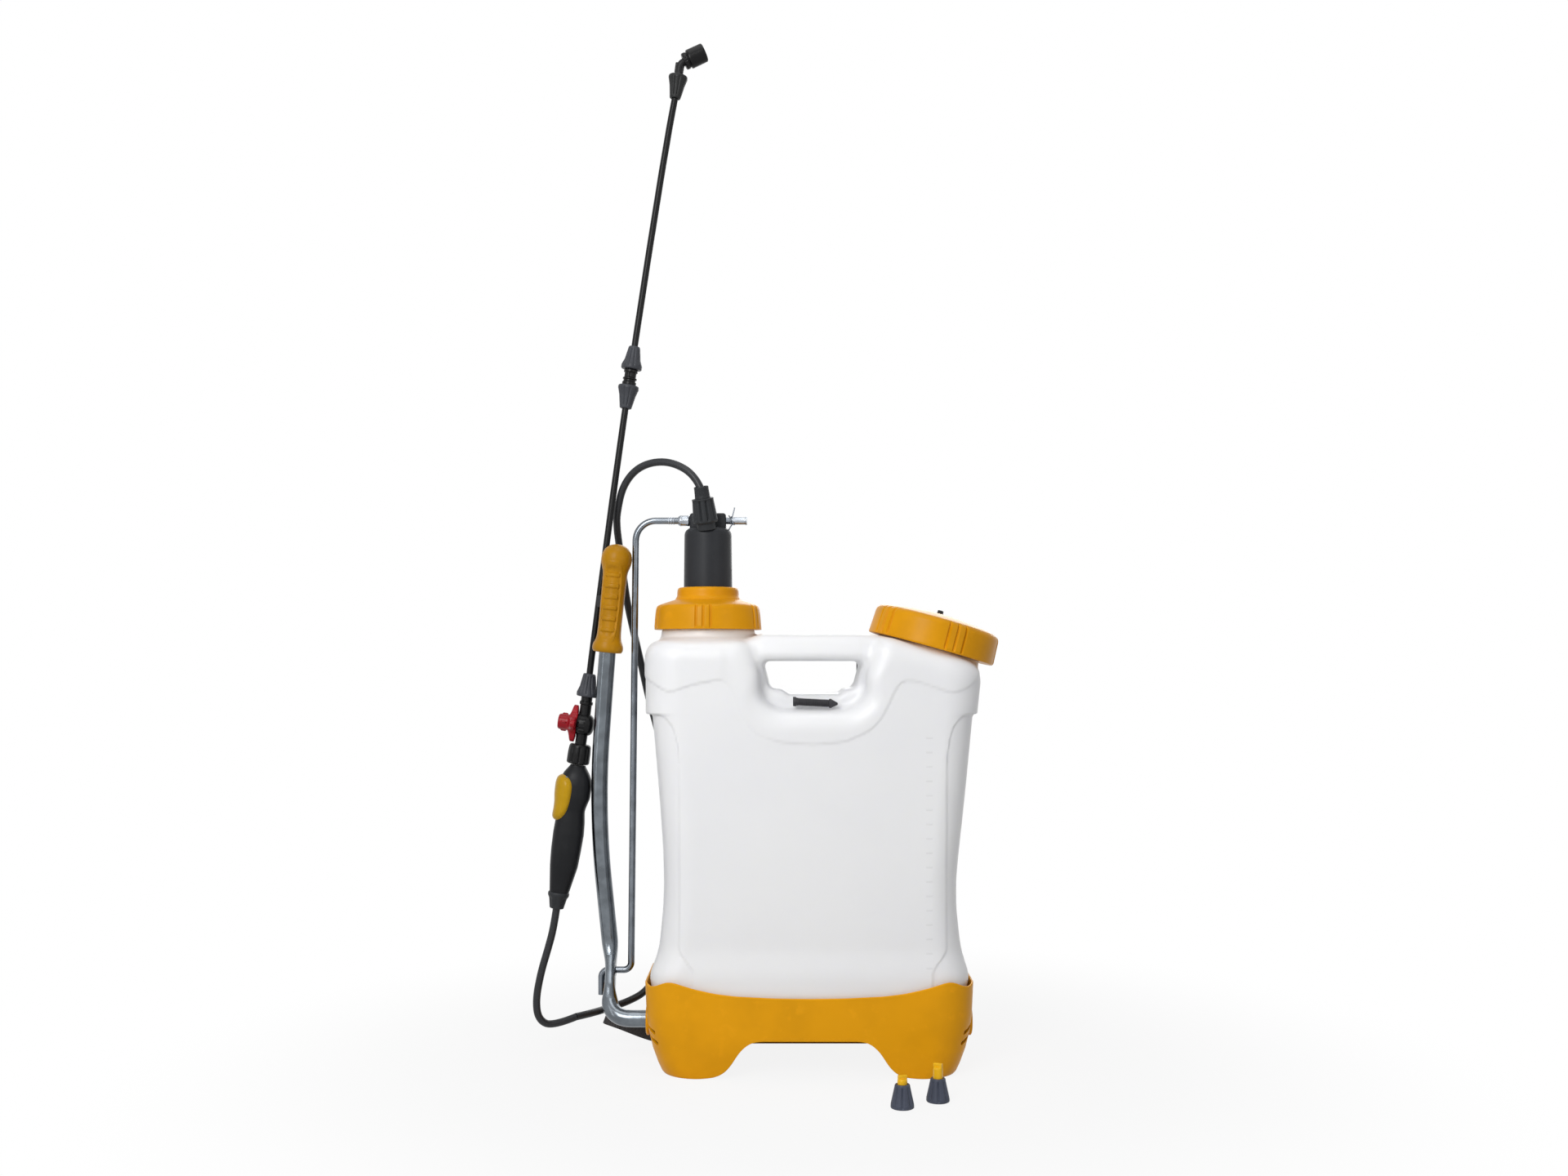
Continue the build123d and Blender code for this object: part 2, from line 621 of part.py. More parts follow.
def pump_chamber():
    """Moving air chamber: a bell over the pump, with the head block and the hose outlet on its top."""
    outer = CHAMBER_OUTER / 2
    bell = rod(outer, CHAMBER_SKIRT_Z, CHAMBER_TOP_Z)
    bell = fillet(bell.edges().filter_by(GeomType.CIRCLE).group_by(Axis.Z)[-1], CHAMBER_ROUND)
    inside = rod(outer - CHAMBER_WALL, CHAMBER_SKIRT_Z - 1, CHAMBER_TOP_Z - 2 * CHAMBER_WALL)
    inside_rim = inside.edges().filter_by(GeomType.CIRCLE).group_by(Axis.Z)[-1]
    bell -= fillet(inside_rim, CHAMBER_ROUND - CHAMBER_WALL)
    block = Box(HEAD_WIDTH, HEAD_BACK + HEAD_FRONT, HEAD_HEIGHT)
    block = Pos(0, (HEAD_BACK - HEAD_FRONT) / 2, CHAMBER_TOP_Z + HEAD_HEIGHT / 2) * block
    block = fillet(block.edges().filter_by(Axis.X).group_by(Axis.Z)[-1], HEAD_ROUND)
    bell += block
    bell -= Pos(0, 0, PIN_Z) * Rot(0, 90, 0) * Cylinder(ROD_DIAMETER / 2 + ROD_CLEARANCE, 2 * HEAD_WIDTH)
    return at_pump(bell) + outlet_place(0) * rod(OUTLET_SPIGOT / 2, -4, OUTLET_LENGTH)


def piston_rod():
    """Hollow rod that hangs from the chamber's roof and carries the piston."""
    top = CHAMBER_TOP_Z - 2 * CHAMBER_WALL
    return at_pump(ring(PISTON_ROD / 2, PISTON_ROD_BORE / 2, PISTON_Z - PISTON_HEIGHT, top))


def seal_ring(squeeze):
    """The seal's ring in its groove, smaller outside by squeeze."""
    middle = PISTON_Z - PISTON_HEIGHT / 2
    return ring(BARREL_BORE / 2 - squeeze, BARREL_BORE / 2 - SEAL_DEPTH, middle - SEAL_HEIGHT / 2,
                middle + SEAL_HEIGHT / 2)


def piston():
    head = ring(BARREL_BORE / 2 - PISTON_CLEARANCE, PISTON_ROD / 2, PISTON_Z - PISTON_HEIGHT, PISTON_Z)
    return at_pump(head - seal_ring(0))


def piston_seal():
    return at_pump(seal_ring(SEAL_PRESS))


def valve_seat_z():
    return BARREL_BOTTOM_Z + VALVE_SEAT


def foot_valve():
    """Cage in the barrel's foot that holds the inlet ball between its seat and a cross bar."""
    bore = BARREL_BORE / 2
    seat = valve_seat_z()
    cage_top = seat + VALVE_BALL + VALVE_LIFT + 2 * VALVE_BAR
    inside = VALVE_BALL / 2 + VALVE_SIDE_PLAY
    cage = ring(bore, inside, BARREL_BOTTOM_Z, cage_top)
    throat = ring(inside, VALVE_BALL / 2 - VALVE_THROAT_WALL, BARREL_BOTTOM_Z, seat)
    bar = Pos(0, 0, cage_top - VALVE_BAR / 2) * Box(2 * inside, VALVE_BAR, VALVE_BAR)
    return at_pump(cage + throat + bar)


def inlet_ball():
    """Ball that rests on the rim of the throat."""
    radius = VALVE_BALL / 2
    rise = math.sqrt(radius ** 2 - (radius - VALVE_THROAT_WALL) ** 2) + BUSH_PRESS
    return at_pump(Pos(0, 0, valve_seat_z() + rise) * Sphere(radius))


def suction_strainer():
    """Slotted cup under the barrel."""
    outer = BARREL_BORE / 2 + BARREL_WALL
    foot_z = BARREL_BOTTOM_Z - STRAINER_HEIGHT
    cup = ring(outer, outer - STRAINER_WALL, foot_z, BARREL_BOTTOM_Z)
    cup += rod(outer - STRAINER_WALL / 2, foot_z, foot_z + STRAINER_WALL)
    for i in range(STRAINER_SLOTS):
        cup -= Rot(0, 0, 180 * i / STRAINER_SLOTS) * Pos(0, 0, foot_z + STRAINER_HEIGHT / 2 + 1) \
            * Box(3 * outer, STRAINER_WALL, STRAINER_SLOT)
    return at_pump(cup)


# ---- link rod ----

def hook_centre():
    """Where the rod passes through the lever when the lever is upright."""
    angle = math.radians(HOOK_ANGLE)
    return AXLE_Y + HOOK_RADIUS * math.sin(angle), AXLE_Z + HOOK_RADIUS * math.cos(angle)


def hook_sag():
    """Half of what the hook's arc bulges off the straight line that the coupling gives."""
    return HOOK_RADIUS * (1 - math.cos(math.radians(LEVER_SWING / 2))) / 2


def link_rod():
    """One bent steel rod: pin through the head, long drop beside the tank, hook through the lever."""
    hook_y, hook_z = hook_centre()
    middle = math.radians(HOOK_ANGLE + LEVER_SWING / 2)
    foot_y = hook_y + hook_sag() * math.sin(middle)
    foot_z = hook_z + hook_sag() * math.cos(middle)
    lean = foot_y / (PIN_Z - foot_z)
    pin_end = PUMP_X + HEAD_WIDTH / 2 + ROD_PIN_END
    path = FilletPolyline((pin_end, 0, PIN_Z), (ROD_X, 0, PIN_Z), (ROD_FOOT_X, foot_y, foot_z),
                          (ROD_TAIL_X, foot_y, foot_z),
                          (ROD_TAIL_X, foot_y + lean * ROD_TAIL, foot_z - ROD_TAIL),
                          radius=[ROD_BEND, ROD_FOOT_BEND, ROD_FOOT_BEND])
    start = Plane(origin=(pin_end, 0, PIN_Z), z_dir=(-1, 0, 0))
    return sweep(start * Circle(ROD_DIAMETER / 2), path)


def rod_collar():
    """Short stop pressed on the rod beside the head."""
    x1 = PUMP_X - HEAD_WIDTH / 2 - ROD_COLLAR_GAP
    collar = ring(ROD_COLLAR / 2, ROD_DIAMETER / 2, 0, ROD_COLLAR_LENGTH)
    return Pos(x1, 0, PIN_Z) * Rot(0, -90, 0) * collar


def hairpin_clip():
    """Wire clip through the pin's end that keeps the rod in the head."""
    x = PUMP_X + HEAD_WIDTH / 2 + HAIRPIN_OUT
    loop_r = ROD_DIAMETER / 2 + HAIRPIN_WIRE / 2
    loop = Pos(x, 0, PIN_Z) * Rot(0, 90, 0) * Torus(loop_r, HAIRPIN_WIRE / 2)
    leg = Pos(x, loop_r, PIN_Z - HAIRPIN_LEG / 2) * Cylinder(HAIRPIN_WIRE / 2, HAIRPIN_LEG)
    return loop + leg


# ---- hose outlet ----

def outlet_place(height):
    """The outlet's own frame on the chamber's roof."""
    return Pos(OUTLET_X, OUTLET_Y, CHAMBER_TOP_Z) * Rot(0, OUTLET_TILT, 0) * Pos(0, 0, height)


def hose_nut():
    nut = fluted(OUTLET_NUT / 2 - 1, OUTLET_NUT_TOP / 2, 0, OUTLET_NUT_LENGTH, 9, 1.0)
    nut -= rod(OUTLET_SPIGOT / 2, -1, OUTLET_NUT_LENGTH + 1)
    return outlet_place(OUTLET_SEAT) * nut


def hose_sleeve():
    """Rubber sleeve round the hose's end above the nut."""
    sleeve = ring(OUTLET_SLEEVE / 2, HOSE / 2, OUTLET_NUT_LENGTH, OUTLET_NUT_LENGTH + OUTLET_SLEEVE_LENGTH)
    return outlet_place(OUTLET_SEAT) * sleeve


def hose_start(height):
    place = outlet_place(OUTLET_SEAT + OUTLET_NUT_LENGTH + height)
    return tuple(place.position)


# ---- filler ----

def lid_top():
    return FILLER_NECK_HEIGHT + LID_TOP_GAP


def filler_lid():
    """Screw lid with a low dome and grip ribs, hollow below."""
    edge_z = lid_top() + LID_EDGE
    z0 = edge_z - LID_SKIRT
    radius = LID_OUTER / 2
    lid = turned([(0, z0), (radius, z0), (radius, edge_z - LID_WALL), (radius - LID_EDGE, edge_z),
                  (0.55 * radius, lid_top() + 0.8 * LID_DOME), (0, lid_top() + LID_DOME)])
    lid += grip_ribs(LID_OUTER, z0 + 1, edge_z - LID_WALL - 1, -75)
    inner = FILLER_NECK / 2 + LID_CLEARANCE
    lid -= rod(inner, z0 - 1, lid_top())
    lid -= ring(radius - LID_WALL, inner + LID_WALL, z0 - 1, lid_top() - LID_TOP_GAP)
    lid -= Pos(0, 0, lid_top()) * Cylinder(VENT_KNOB / 2 - 1, 4 * LID_DOME)
    return filler_place(0) * lid


def lid_gasket():
    return filler_place(0) * ring(FILLER_NECK / 2, FILLER_BORE / 2, FILLER_NECK_HEIGHT + SOFT_GAP, lid_top())


def lid_vent():
    """Small breather valve in the middle of the lid."""
    top = lid_top() + LID_DOME
    return filler_place(0) * (rod(VENT_KNOB / 2, top, top + VENT_KNOB_HEIGHT)
                              + rod(VENT_KNOB / 2 - 1, lid_top() + 1, top))


def filler_basket():
    """Strainer basket that hangs from its flange inside the filler neck."""
    radius = FILLER_BORE / 2 - FIT
    foot = radius - BASKET_TAPER
    foot_z = FILLER_NECK_HEIGHT - BASKET_DEPTH
    rim_z = FILLER_NECK_HEIGHT - 1
    basket = taper(foot, radius, foot_z, rim_z)
    basket -= taper(foot - BASKET_WALL, radius - BASKET_WALL, foot_z + BASKET_WALL, rim_z + 0.01)
    for i in range(BASKET_BARS):
        basket -= Rot(0, 0, 180 * i / BASKET_BARS) * Pos(0, 0, FILLER_NECK_HEIGHT - BASKET_SLOT_DOWN) \
            * Box(4 * radius, BASKET_SLOT_WIDTH, BASKET_SLOT)
    return filler_place(0) * basket


# ---- lever ----

def lever_points():
    """Centre line of the lever from the axle's right end to the top inside the grip."""
    reach = HOOK_RADIUS + LEVER_EYE_WALL
    angle = math.radians(HOOK_ANGLE)
    kink = (LEVER_FOOT_X, AXLE_Y + reach * math.sin(angle), AXLE_Z + reach * math.cos(angle))
    top = tuple(grip_place(LEVER_TOP_IN_GRIP).position)
    under = tuple(grip_place(-GRIP_FLANGE_THICK).position)
    axle_end = (bush_face() - AXLE_SHORT, AXLE_Y, AXLE_Z)
    return [axle_end, (LEVER_FOOT_X, AXLE_Y, AXLE_Z), kink, LEVER_BOW, under, top]


def bent_tube(path, start, direction):
    """A length of the lever's tube along a path."""
    plane = Plane(origin=start, z_dir=direction)
    outside = sweep(plane * Circle(LEVER_TUBE / 2), path)
    return outside - sweep(plane * Circle(LEVER_TUBE / 2 - LEVER_WALL), path)


def flat_section(point, direction, width, thick):
    """The lever's section where it is pressed flat: width through the depth, thick from side to side."""
    plane = Plane(origin=point, x_dir=(1, 0, 0), z_dir=direction)
    return plane * RectangleRounded(thick, width, min(width, thick) / 2 - 0.02)


def lever_tube():
    """One steel tube: axle, bend, flattened eye for the rod's hook, then the long arm up to the grip."""
    axle_end, foot, kink, bow, under, top = [Vector(*p) for p in lever_points()]
    arm = (kink - foot).normalized()
    up = (bow - kink).normalized()
    turn = (arm + up).normalized()
    bend_end = foot + arm * (LEVER_BEND + 1)
    round_again = kink + up * (LEVER_ROUND_AGAIN + LEVER_TAPER_TOP)
    lower = FilletPolyline(axle_end, foot, bend_end, radius=LEVER_BEND)
    upper = FilletPolyline(round_again, bow, under, top, radius=[LEVER_BOW_RADIUS, LEVER_TOP_RADIUS])
    plug = LEVER_TUBE - LEVER_PLUG_PLAY
    round_low = flat_section(bend_end, arm, plug, plug)
    flat_low = flat_section(foot + arm * (LEVER_BEND + LEVER_TAPER), arm, LEVER_FLAT_WIDTH, LEVER_FLAT)
    flat_kink = flat_section(kink, turn, LEVER_FLAT_WIDTH, LEVER_FLAT)
    flat_high = flat_section(kink + up * LEVER_ROUND_AGAIN, up, LEVER_FLAT_WIDTH, LEVER_FLAT)
    round_high = flat_section(round_again, up, plug, plug)
    flat = loft([round_low, flat_low]) + loft([flat_low, flat_kink], ruled=True)
    flat += loft([flat_kink, flat_high], ruled=True)
    flat += loft([flat_high, round_high])
    hook_y, hook_z = hook_centre()
    hole = ROD_DIAMETER / 2 + hook_sag() + HOOK_PLAY
    eye = Pos(LEVER_FOOT_X, hook_y, hook_z) * Rot(0, 90, 0) * Cylinder(hole, 4 * LEVER_FLAT)
    return bent_tube(lower, axle_end, Vector(-1, 0, 0)) + flat + bent_tube(upper, round_again, up) - eye


def axle_retainer():
    """Push-on washer inside the base that keeps the axle from sliding out."""
    x = bush_face() - BUSH_LENGTH - RETAINER_GAP
    washer = ring(LEVER_TUBE / 2 + RETAINER_WALL, LEVER_TUBE / 2, 0, RETAINER_THICK)
    return Pos(x, AXLE_Y, AXLE_Z) * Rot(0, -90, 0) * washer


def grip_place(height):
    return Pos(*GRIP_FOOT) * Rot(0, GRIP_TILT, 0) * Pos(0, 0, height)


def lever_grip():
    """Moulded hand grip with a hand stop below and a ball end, bored for the tube."""
    ball_z = GRIP_LENGTH - GRIP_BALL / 2
    grip = rod(GRIP_FLANGE / 2, 0, GRIP_FLANGE_THICK)
    grip = fillet(grip.edges().filter_by(GeomType.CIRCLE), GRIP_ROUND)
    grip += taper(GRIP_BODY / 2 - 1, GRIP_BODY / 2 + 0.8, GRIP_FLANGE_THICK / 2, ball_z)
    grip += Pos(0, 0, ball_z) * Sphere(GRIP_BALL / 2)
    grip -= rod(LEVER_TUBE / 2 + FIT, -1, GRIP_BORE)
    return grip_place(0) * grip


def parking_clip():
    """Fork on the grip that the lance's tube is pushed into from the left."""
    x, y, z = lance_at_height(grip_place(CLIP_S).position.Z)
    fork = Pos(x + CLIP_DEPTH / 2 - LANCE_TUBE / 2 - 1, y, z) \
        * Box(CLIP_DEPTH, LANCE_TUBE + 2 * CLIP_WALL, CLIP_HEIGHT)
    slot = LANCE * Cylinder(LANCE_TUBE / 2 + FIT, 4 * REACH)
    mouth = Pos(x - CLIP_DEPTH, y, z) * Box(2 * CLIP_DEPTH, LANCE_TUBE + 2 * FIT, 2 * CLIP_HEIGHT)
    arm = Pos((x + GRIP_FOOT[0]) / 2 + LANCE_TUBE + FIT + CLIP_WALL, y / 2 + LANCE_TUBE / 2, z) \
        * Box(CLIP_HEIGHT, CLIP_ARM_WIDTH, CLIP_HEIGHT - 2)
    return fork + arm - slot - mouth - grip_place(0) * rod(GRIP_BODY / 2 + 1, -1, GRIP_LENGTH)


# ---- lance ----

def lance_at_height(z):
    """The point of the lance's axis at a height above the floor."""
    run = z - LANCE_FOOT[2]
    return LANCE_FOOT[0] + run * math.tan(math.radians(LANCE_TILT)), LANCE_FOOT[1], z


def gun_tail_nut():
    nut = fluted(TAIL_NUT_END / 2, TAIL_NUT / 2, 0, TAIL_NUT_LENGTH, 10, FLUTE_DEPTH)
    return LANCE * (nut - rod(HOSE / 2, -1, TAIL_NUT_LENGTH + 1))


def gun_handle():
    """Handle shell: oval, swollen at the palm, with a pocket for the trigger and a bore for the valve."""
    body = loft([Pos(shift, 0, GUN_S + share * GUN_LENGTH) * Ellipse(half_w, half_d)
                 for share, shift, half_w, half_d in GUN_SECTIONS])
    body -= rod(GUN_BORE / 2, GUN_S - 1, GUN_TOP_S + 1)
    body -= Pos(GUN_POCKET_X, 0, TRIGGER_S + TRIGGER_LENGTH / 2) \
        * Box(GUN_POCKET, TRIGGER_WIDTH + 2 * FIT, TRIGGER_LENGTH + 2 * TRIGGER_POCKET_PLAY)
    body -= at_trigger_pin() * Cylinder(TRIGGER_PIN / 2, 2 * TRIGGER_PIN_LENGTH)
    return LANCE * body


def at_trigger_pin():
    return Pos(TRIGGER_PIN_X, 0, TRIGGER_PIN_S) * Rot(90, 0, 0)


def trigger():
    """Squeeze trigger on a cross pin at its upper end."""
    outline = [(x, 0, TRIGGER_S + share * TRIGGER_LENGTH) for x, share in TRIGGER_OUTLINE]
    body = extrude(make_face(Polyline(*outline, close=True)), TRIGGER_WIDTH / 2, both=True, dir=(0, 1, 0))
    body -= at_trigger_pin() * Cylinder(TRIGGER_PIN / 2 + TRIGGER_PIN_PLAY, 2 * TRIGGER_PIN_LENGTH)
    return LANCE * body


def trigger_pin():
    return LANCE * at_trigger_pin() * Cylinder(TRIGGER_PIN / 2, TRIGGER_PIN_LENGTH)


def valve_plunger():
    """Plunger in the gun's bore that the trigger pulls off its seat."""
    s0 = TRIGGER_S - PLUNGER_DOWN
    return LANCE * (rod(PLUNGER / 2, s0, s0 + PLUNGER_LENGTH) + rod(PLUNGER / 2 + 1, s0, s0 + PLUNGER_HEAD))


def trigger_spring():
    """Return spring under the plunger."""
    coils = Helix(pitch=SPRING_PITCH, height=SPRING_LENGTH, radius=PLUNGER / 2 + SPRING_WIRE)
    start = Plane(origin=coils @ 0, z_dir=coils % 0)
    spring = sweep(start * Circle(SPRING_WIRE / 2), coils)
    return LANCE * Pos(0, 0, TRIGGER_S - SPRING_DOWN) * spring


def gun_nut():
    nut = fluted(GUN_NUT / 2, GUN_NUT / 2 - 1.2, GUN_NUT_S, VALVE_S, 12, FLUTE_DEPTH)
    return LANCE * (nut - rod(VALVE_BODY / 2, GUN_NUT_S - 1, VALVE_S + 1))


def valve_body():
    """Shut-off valve: a tube with a cross drum that takes the knob's spindle."""
    body = rod(VALVE_BODY / 2, GUN_NUT_S, VALVE_S + VALVE_LENGTH)
    drum = Pos((DRUM_BACK - DRUM_FRONT) / 2, 0, VALVE_DRUM_S) * Rot(0, 90, 0) \
        * Cylinder(VALVE_DRUM / 2, DRUM_FRONT + DRUM_BACK)
    body += fillet(drum.edges().filter_by(GeomType.CIRCLE), DRUM_ROUND)
    rib_s = LOWER_NUT_S - LANCE_BORE
    body += rod(VALVE_BODY / 2 + VALVE_RIB, rib_s - 2 * VALVE_RIB, rib_s)
    body -= rod(LANCE_BORE / 2, GUN_NUT_S - 1, LOWER_NUT_S + 1)
    body -= Pos(-DRUM_FRONT - 2, 0, VALVE_DRUM_S) * Rot(0, 90, 0) \
        * Cylinder(SPINDLE / 2 + KNOB_CLEARANCE / 2, 2 * (DRUM_FRONT + 2))
    return LANCE * body


def valve_knob():
    """Red knob: flange, three lobes and a square end, on a spindle in the drum."""
    at = Pos(0, 0, VALVE_DRUM_S) * Rot(0, -90, 0)
    face = DRUM_FRONT + KNOB_CLEARANCE
    flange_face = face + KNOB_FLANGE_THICK
    knob = rod(SPINDLE / 2, 1, face) + rod(KNOB_FLANGE / 2, face, flange_face)
    knob += rod(KNOB_HUB / 2, flange_face, face + KNOB_HUB_TOP)
    knob += rod(KNOB_END / 2, face + KNOB_HUB_TOP, face + KNOB_LENGTH)
    for i in range(KNOB_LOBES):
        turn = Rot(0, 0, 360 * i / KNOB_LOBES)
        knob += turn * Pos(KNOB_LOBE_OUT, 0, 0) * rod(KNOB_LOBE / 2, face + 1, face + KNOB_LOBE_HEIGHT)
        knob += turn * Pos(KNOB_FLANGE / 2, 0, flange_face) \
            * Box(KNOB_LOBE_HEIGHT - 1, KNOB_LOBE_HEIGHT - 2, KNOB_LOBE_HEIGHT - 1)
    return LANCE * (at * knob)


def lance_nut(s0, radius0, radius1):
    nut = fluted(radius0, radius1, s0, s0 + NUT_LENGTH, 10, FLUTE_DEPTH)
    return LANCE * (nut - rod(LANCE_TUBE / 2, s0 - 1, s0 + NUT_LENGTH + 1))


def lower_tube():
    return LANCE * ring(LANCE_TUBE / 2, LANCE_BORE / 2, LOWER_NUT_S + 0.01, COUPLER_S)


def upper_tube():
    return LANCE * ring(LANCE_TUBE / 2, LANCE_BORE / 2, COUPLER_S + COUPLER_LENGTH, ELBOW_S)


def coupler():
    stub_s = COUPLER_S + COUPLER_LENGTH - COUPLER_STUB
    body = ring(COUPLER_BODY / 2, LANCE_BORE / 2, COUPLER_S, stub_s)
    body += ring(LANCE_TUBE / 2, LANCE_BORE / 2, stub_s - 0.01, stub_s + COUPLER_STUB)
    return LANCE * body


def nozzle_place():
    return LANCE * Pos(0, 0, ELBOW_S + ELBOW_RISE) * Rot(0, NOZZLE_ANGLE - LANCE_TILT, 0)


def nozzle_elbow():
    """Elbow from the lance's end to the nozzle."""
    body = LANCE * rod(ELBOW_DIAMETER / 2, ELBOW_S, ELBOW_S + ELBOW_RISE)
    body += LANCE * Pos(0, 0, ELBOW_S + ELBOW_RISE) * Sphere(ELBOW_DIAMETER / 2 + 0.3)
    body += nozzle_place() * rod(ELBOW_DIAMETER / 2, 0, NOZZLE_STEM)
    return body - nozzle_place() * rod(NOZZLE_HOLE, NOZZLE_CAP_OUT, 2 * NOZZLE_STEM)


def nozzle_cap():
    """Adjustable nozzle cap that turns on the elbow's end."""
    end = NOZZLE_CAP_OUT + NOZZLE_CAP_LENGTH
    cap = rod(NOZZLE_CAP / 2, NOZZLE_CAP_OUT, end)
    cap = fillet(cap.edges().filter_by(GeomType.CIRCLE), NOZZLE_CAP_ROUND)
    cap -= rod(ELBOW_DIAMETER / 2 + FIT, 0, NOZZLE_STEM + FIT)
    cap -= rod(NOZZLE_HOLE / 2, NOZZLE_STEM - 1, 2 * end)
    cap -= taper(NOZZLE_HOLE, NOZZLE_MOUTH / 2, end - NOZZLE_MOUTH_DEPTH, end + 0.01)
    return nozzle_place() * cap


# ---- hose ----

def bend_radii(points):
    """The largest tangent arc that each corner of a hose route leaves room for."""
    radii = []
    for before, here, after in zip(points, points[1:], points[2:]):
        a = Vector(*here) - Vector(*before)
        b = Vector(*after) - Vector(*here)
        half_turn = math.radians(a.get_angle(b)) / 2
        radii.append(0.45 * min(a.length, b.length) / math.tan(half_turn))
    return radii


def hose(points, name):
    radii = bend_radii(points)
    path = FilletPolyline(*points, radius=radii)
    start = Plane(origin=path @ 0, z_dir=path % 0)
    tube = sweep(start * Circle(HOSE / 2), path)
    share = tube.volume / (math.pi * HOSE ** 2 / 4 * path.length)
    print(name, "length", round(path.length), "volume share", round(share, 4), "tightest", round(min(radii)))
    return tube


def hose_top_points():
    """From the outlet over the top and down to the back of the grip's ball."""
    x, y, z = hose_start(OUTLET_SLEEVE_LENGTH)
    return [(x, y, z), hose_start(OUTLET_SLEEVE_LENGTH + 16), (x - 20, y + 4, z + 30),
            (x - 44, y + 11, z + 33), (x - 68, y + 23, z + 23), (x - 87, y + 38, z + 4),
            (x - 99, y + 50, z - 22),
            (HOSE_BALL[0] - 0.5, HOSE_BALL[1] - 5, HOSE_BALL[2] + 14), HOSE_BALL]


def hose_grip_points():
    """The stretch that leans on the back of the grip and swings with it."""
    x, y, z = HOSE_BALL
    under_x, under_y, under_z = HOSE_UNDER
    return [HOSE_BALL, (x + 0.5, y + 5, z - 14), (x + 3.5, y + 12, z - 51), (x + 8, y + 19, z - 86),
            (under_x - 5.5, under_y - 6, under_z + 26), HOSE_UNDER]


def hose_back_points():
    """From below the grip past the clip, down the tank's back corner and round the base, out to the lever."""
    x, y, z = HOSE_UNDER
    clip_x, clip_y, clip_z = HOSE_CLIP
    meet_x, meet_y, meet_z = HOSE_MEET
    dx, dy, dz = HOSE_MEET_STEP
    return [HOSE_UNDER, (x + 5.5, y + 6, z - 26), (x + 13.5, y + 15, z - 66), (x + 24, y + 21, z - 106),
            (clip_x - 4, clip_y + 2, clip_z + 62), (clip_x, clip_y, clip_z + 26),
            (clip_x, clip_y, clip_z - 34), (-173.5, 87, 222), (-175, 94, 176), (-180, 103, 134),
            (-189, 109, 96), (-206, 109, 68), (-228, 101, 54), (-250, 87, 50),
            (meet_x - dx, meet_y - dy, meet_z - dz), HOSE_MEET]


def hose_lower_points():
    """From behind the lever out to the left and up into the gun's tail."""
    x, y, z = HOSE_MEET
    dx, dy, dz = HOSE_MEET_STEP
    tail_x, tail_y, tail_z = LANCE_FOOT
    run = TAIL_NUT_LENGTH + 4
    lean = math.radians(LANCE_TILT)
    return [HOSE_MEET, (x + dx, y + dy, z + dz), (-325, 20, 52), (-331, 18, 76), (-327, 18, 106),
            (-319, 18, 132), (tail_x - run * math.sin(lean), tail_y, tail_z - run * math.cos(lean)),
            LANCE_FOOT]


def hose_clip():
    """Small hook moulded for the hose on the tank's back corner."""
    x, y, z = HOSE_CLIP
    width, depth, height = HOSE_CLIP_BLOCK
    body = Pos(x + HOSE / 2, y - HOSE / 2 - 1.5, z) * Box(width, depth, height)
    return body - Pos(x, y, z) * Cylinder(HOSE / 2 + FIT, 4 * height) - tank_solid(0)


# ---- straps ----

def back_y(x):
    """Depth of the tank's hollow back at a distance x from the middle."""
    return TANK_HALF_DEPTH - BACK_HOLLOW + BACK_HOLLOW_RADIUS - math.sqrt(BACK_HOLLOW_RADIUS ** 2 - x ** 2)


def strap_place(side):
    """Frame of one strap: X across it, Y away from the tank's back, both edges against the hollow."""
    inner = back_y(PAD_X - PAD_WIDTH / 2)
    outer = back_y(PAD_X + PAD_WIDTH / 2)
    turn = math.degrees(math.atan2(outer - inner, PAD_WIDTH))
    return Pos(side * PAD_X, (inner + outer) / 2 + SOFT_GAP, 0) * Rot(0, 0, side * turn)


def strap_pad(side):
    """Padded shoulder strap lying down the tank's back."""
    length = PAD_TOP_Z - PAD_BOTTOM_Z
    pad = Pos(0, PAD_THICK / 2, (PAD_TOP_Z + PAD_BOTTOM_Z) / 2) * Box(PAD_WIDTH, PAD_THICK, length)
    return strap_place(side) * fillet(pad.edges().filter_by(Axis.Z), PAD_ROUND)


def strap_anchor():
    """Moulded cross bar on the back of the handle that both pads hang from."""
    centre = Pos(0, TANK_HALF_DEPTH - BACK_HOLLOW + BACK_HOLLOW_RADIUS, 0)
    bar = centre * ring(BACK_HOLLOW_RADIUS, BACK_HOLLOW_RADIUS - ANCHOR_THICK, PAD_TOP_Z,
                        PAD_TOP_Z + ANCHOR_HEIGHT)
    length = 2 * PAD_X + PAD_WIDTH + 2 * ANCHOR_PROUD
    return bar & Pos(0, 0, PAD_TOP_Z) * Box(length, 4 * TANK_HALF_DEPTH, 4 * ANCHOR_HEIGHT)


def strap_buckle(side):
    """Ladder buckle at the pad's lower end."""
    middle = PAD_BOTTOM_Z - BUCKLE_HEIGHT / 2
    frame = Pos(0, PAD_THICK / 2, middle) * Box(BUCKLE_WIDTH, BUCKLE_THICK, BUCKLE_HEIGHT)
    for k in (-1, 0, 1):
        frame -= Pos(0, PAD_THICK / 2, middle + BUCKLE_PITCH * k) \
            * Box(WEB_WIDTH + 2, 2 * BUCKLE_THICK, BUCKLE_THICK)
    return strap_place(side) * frame


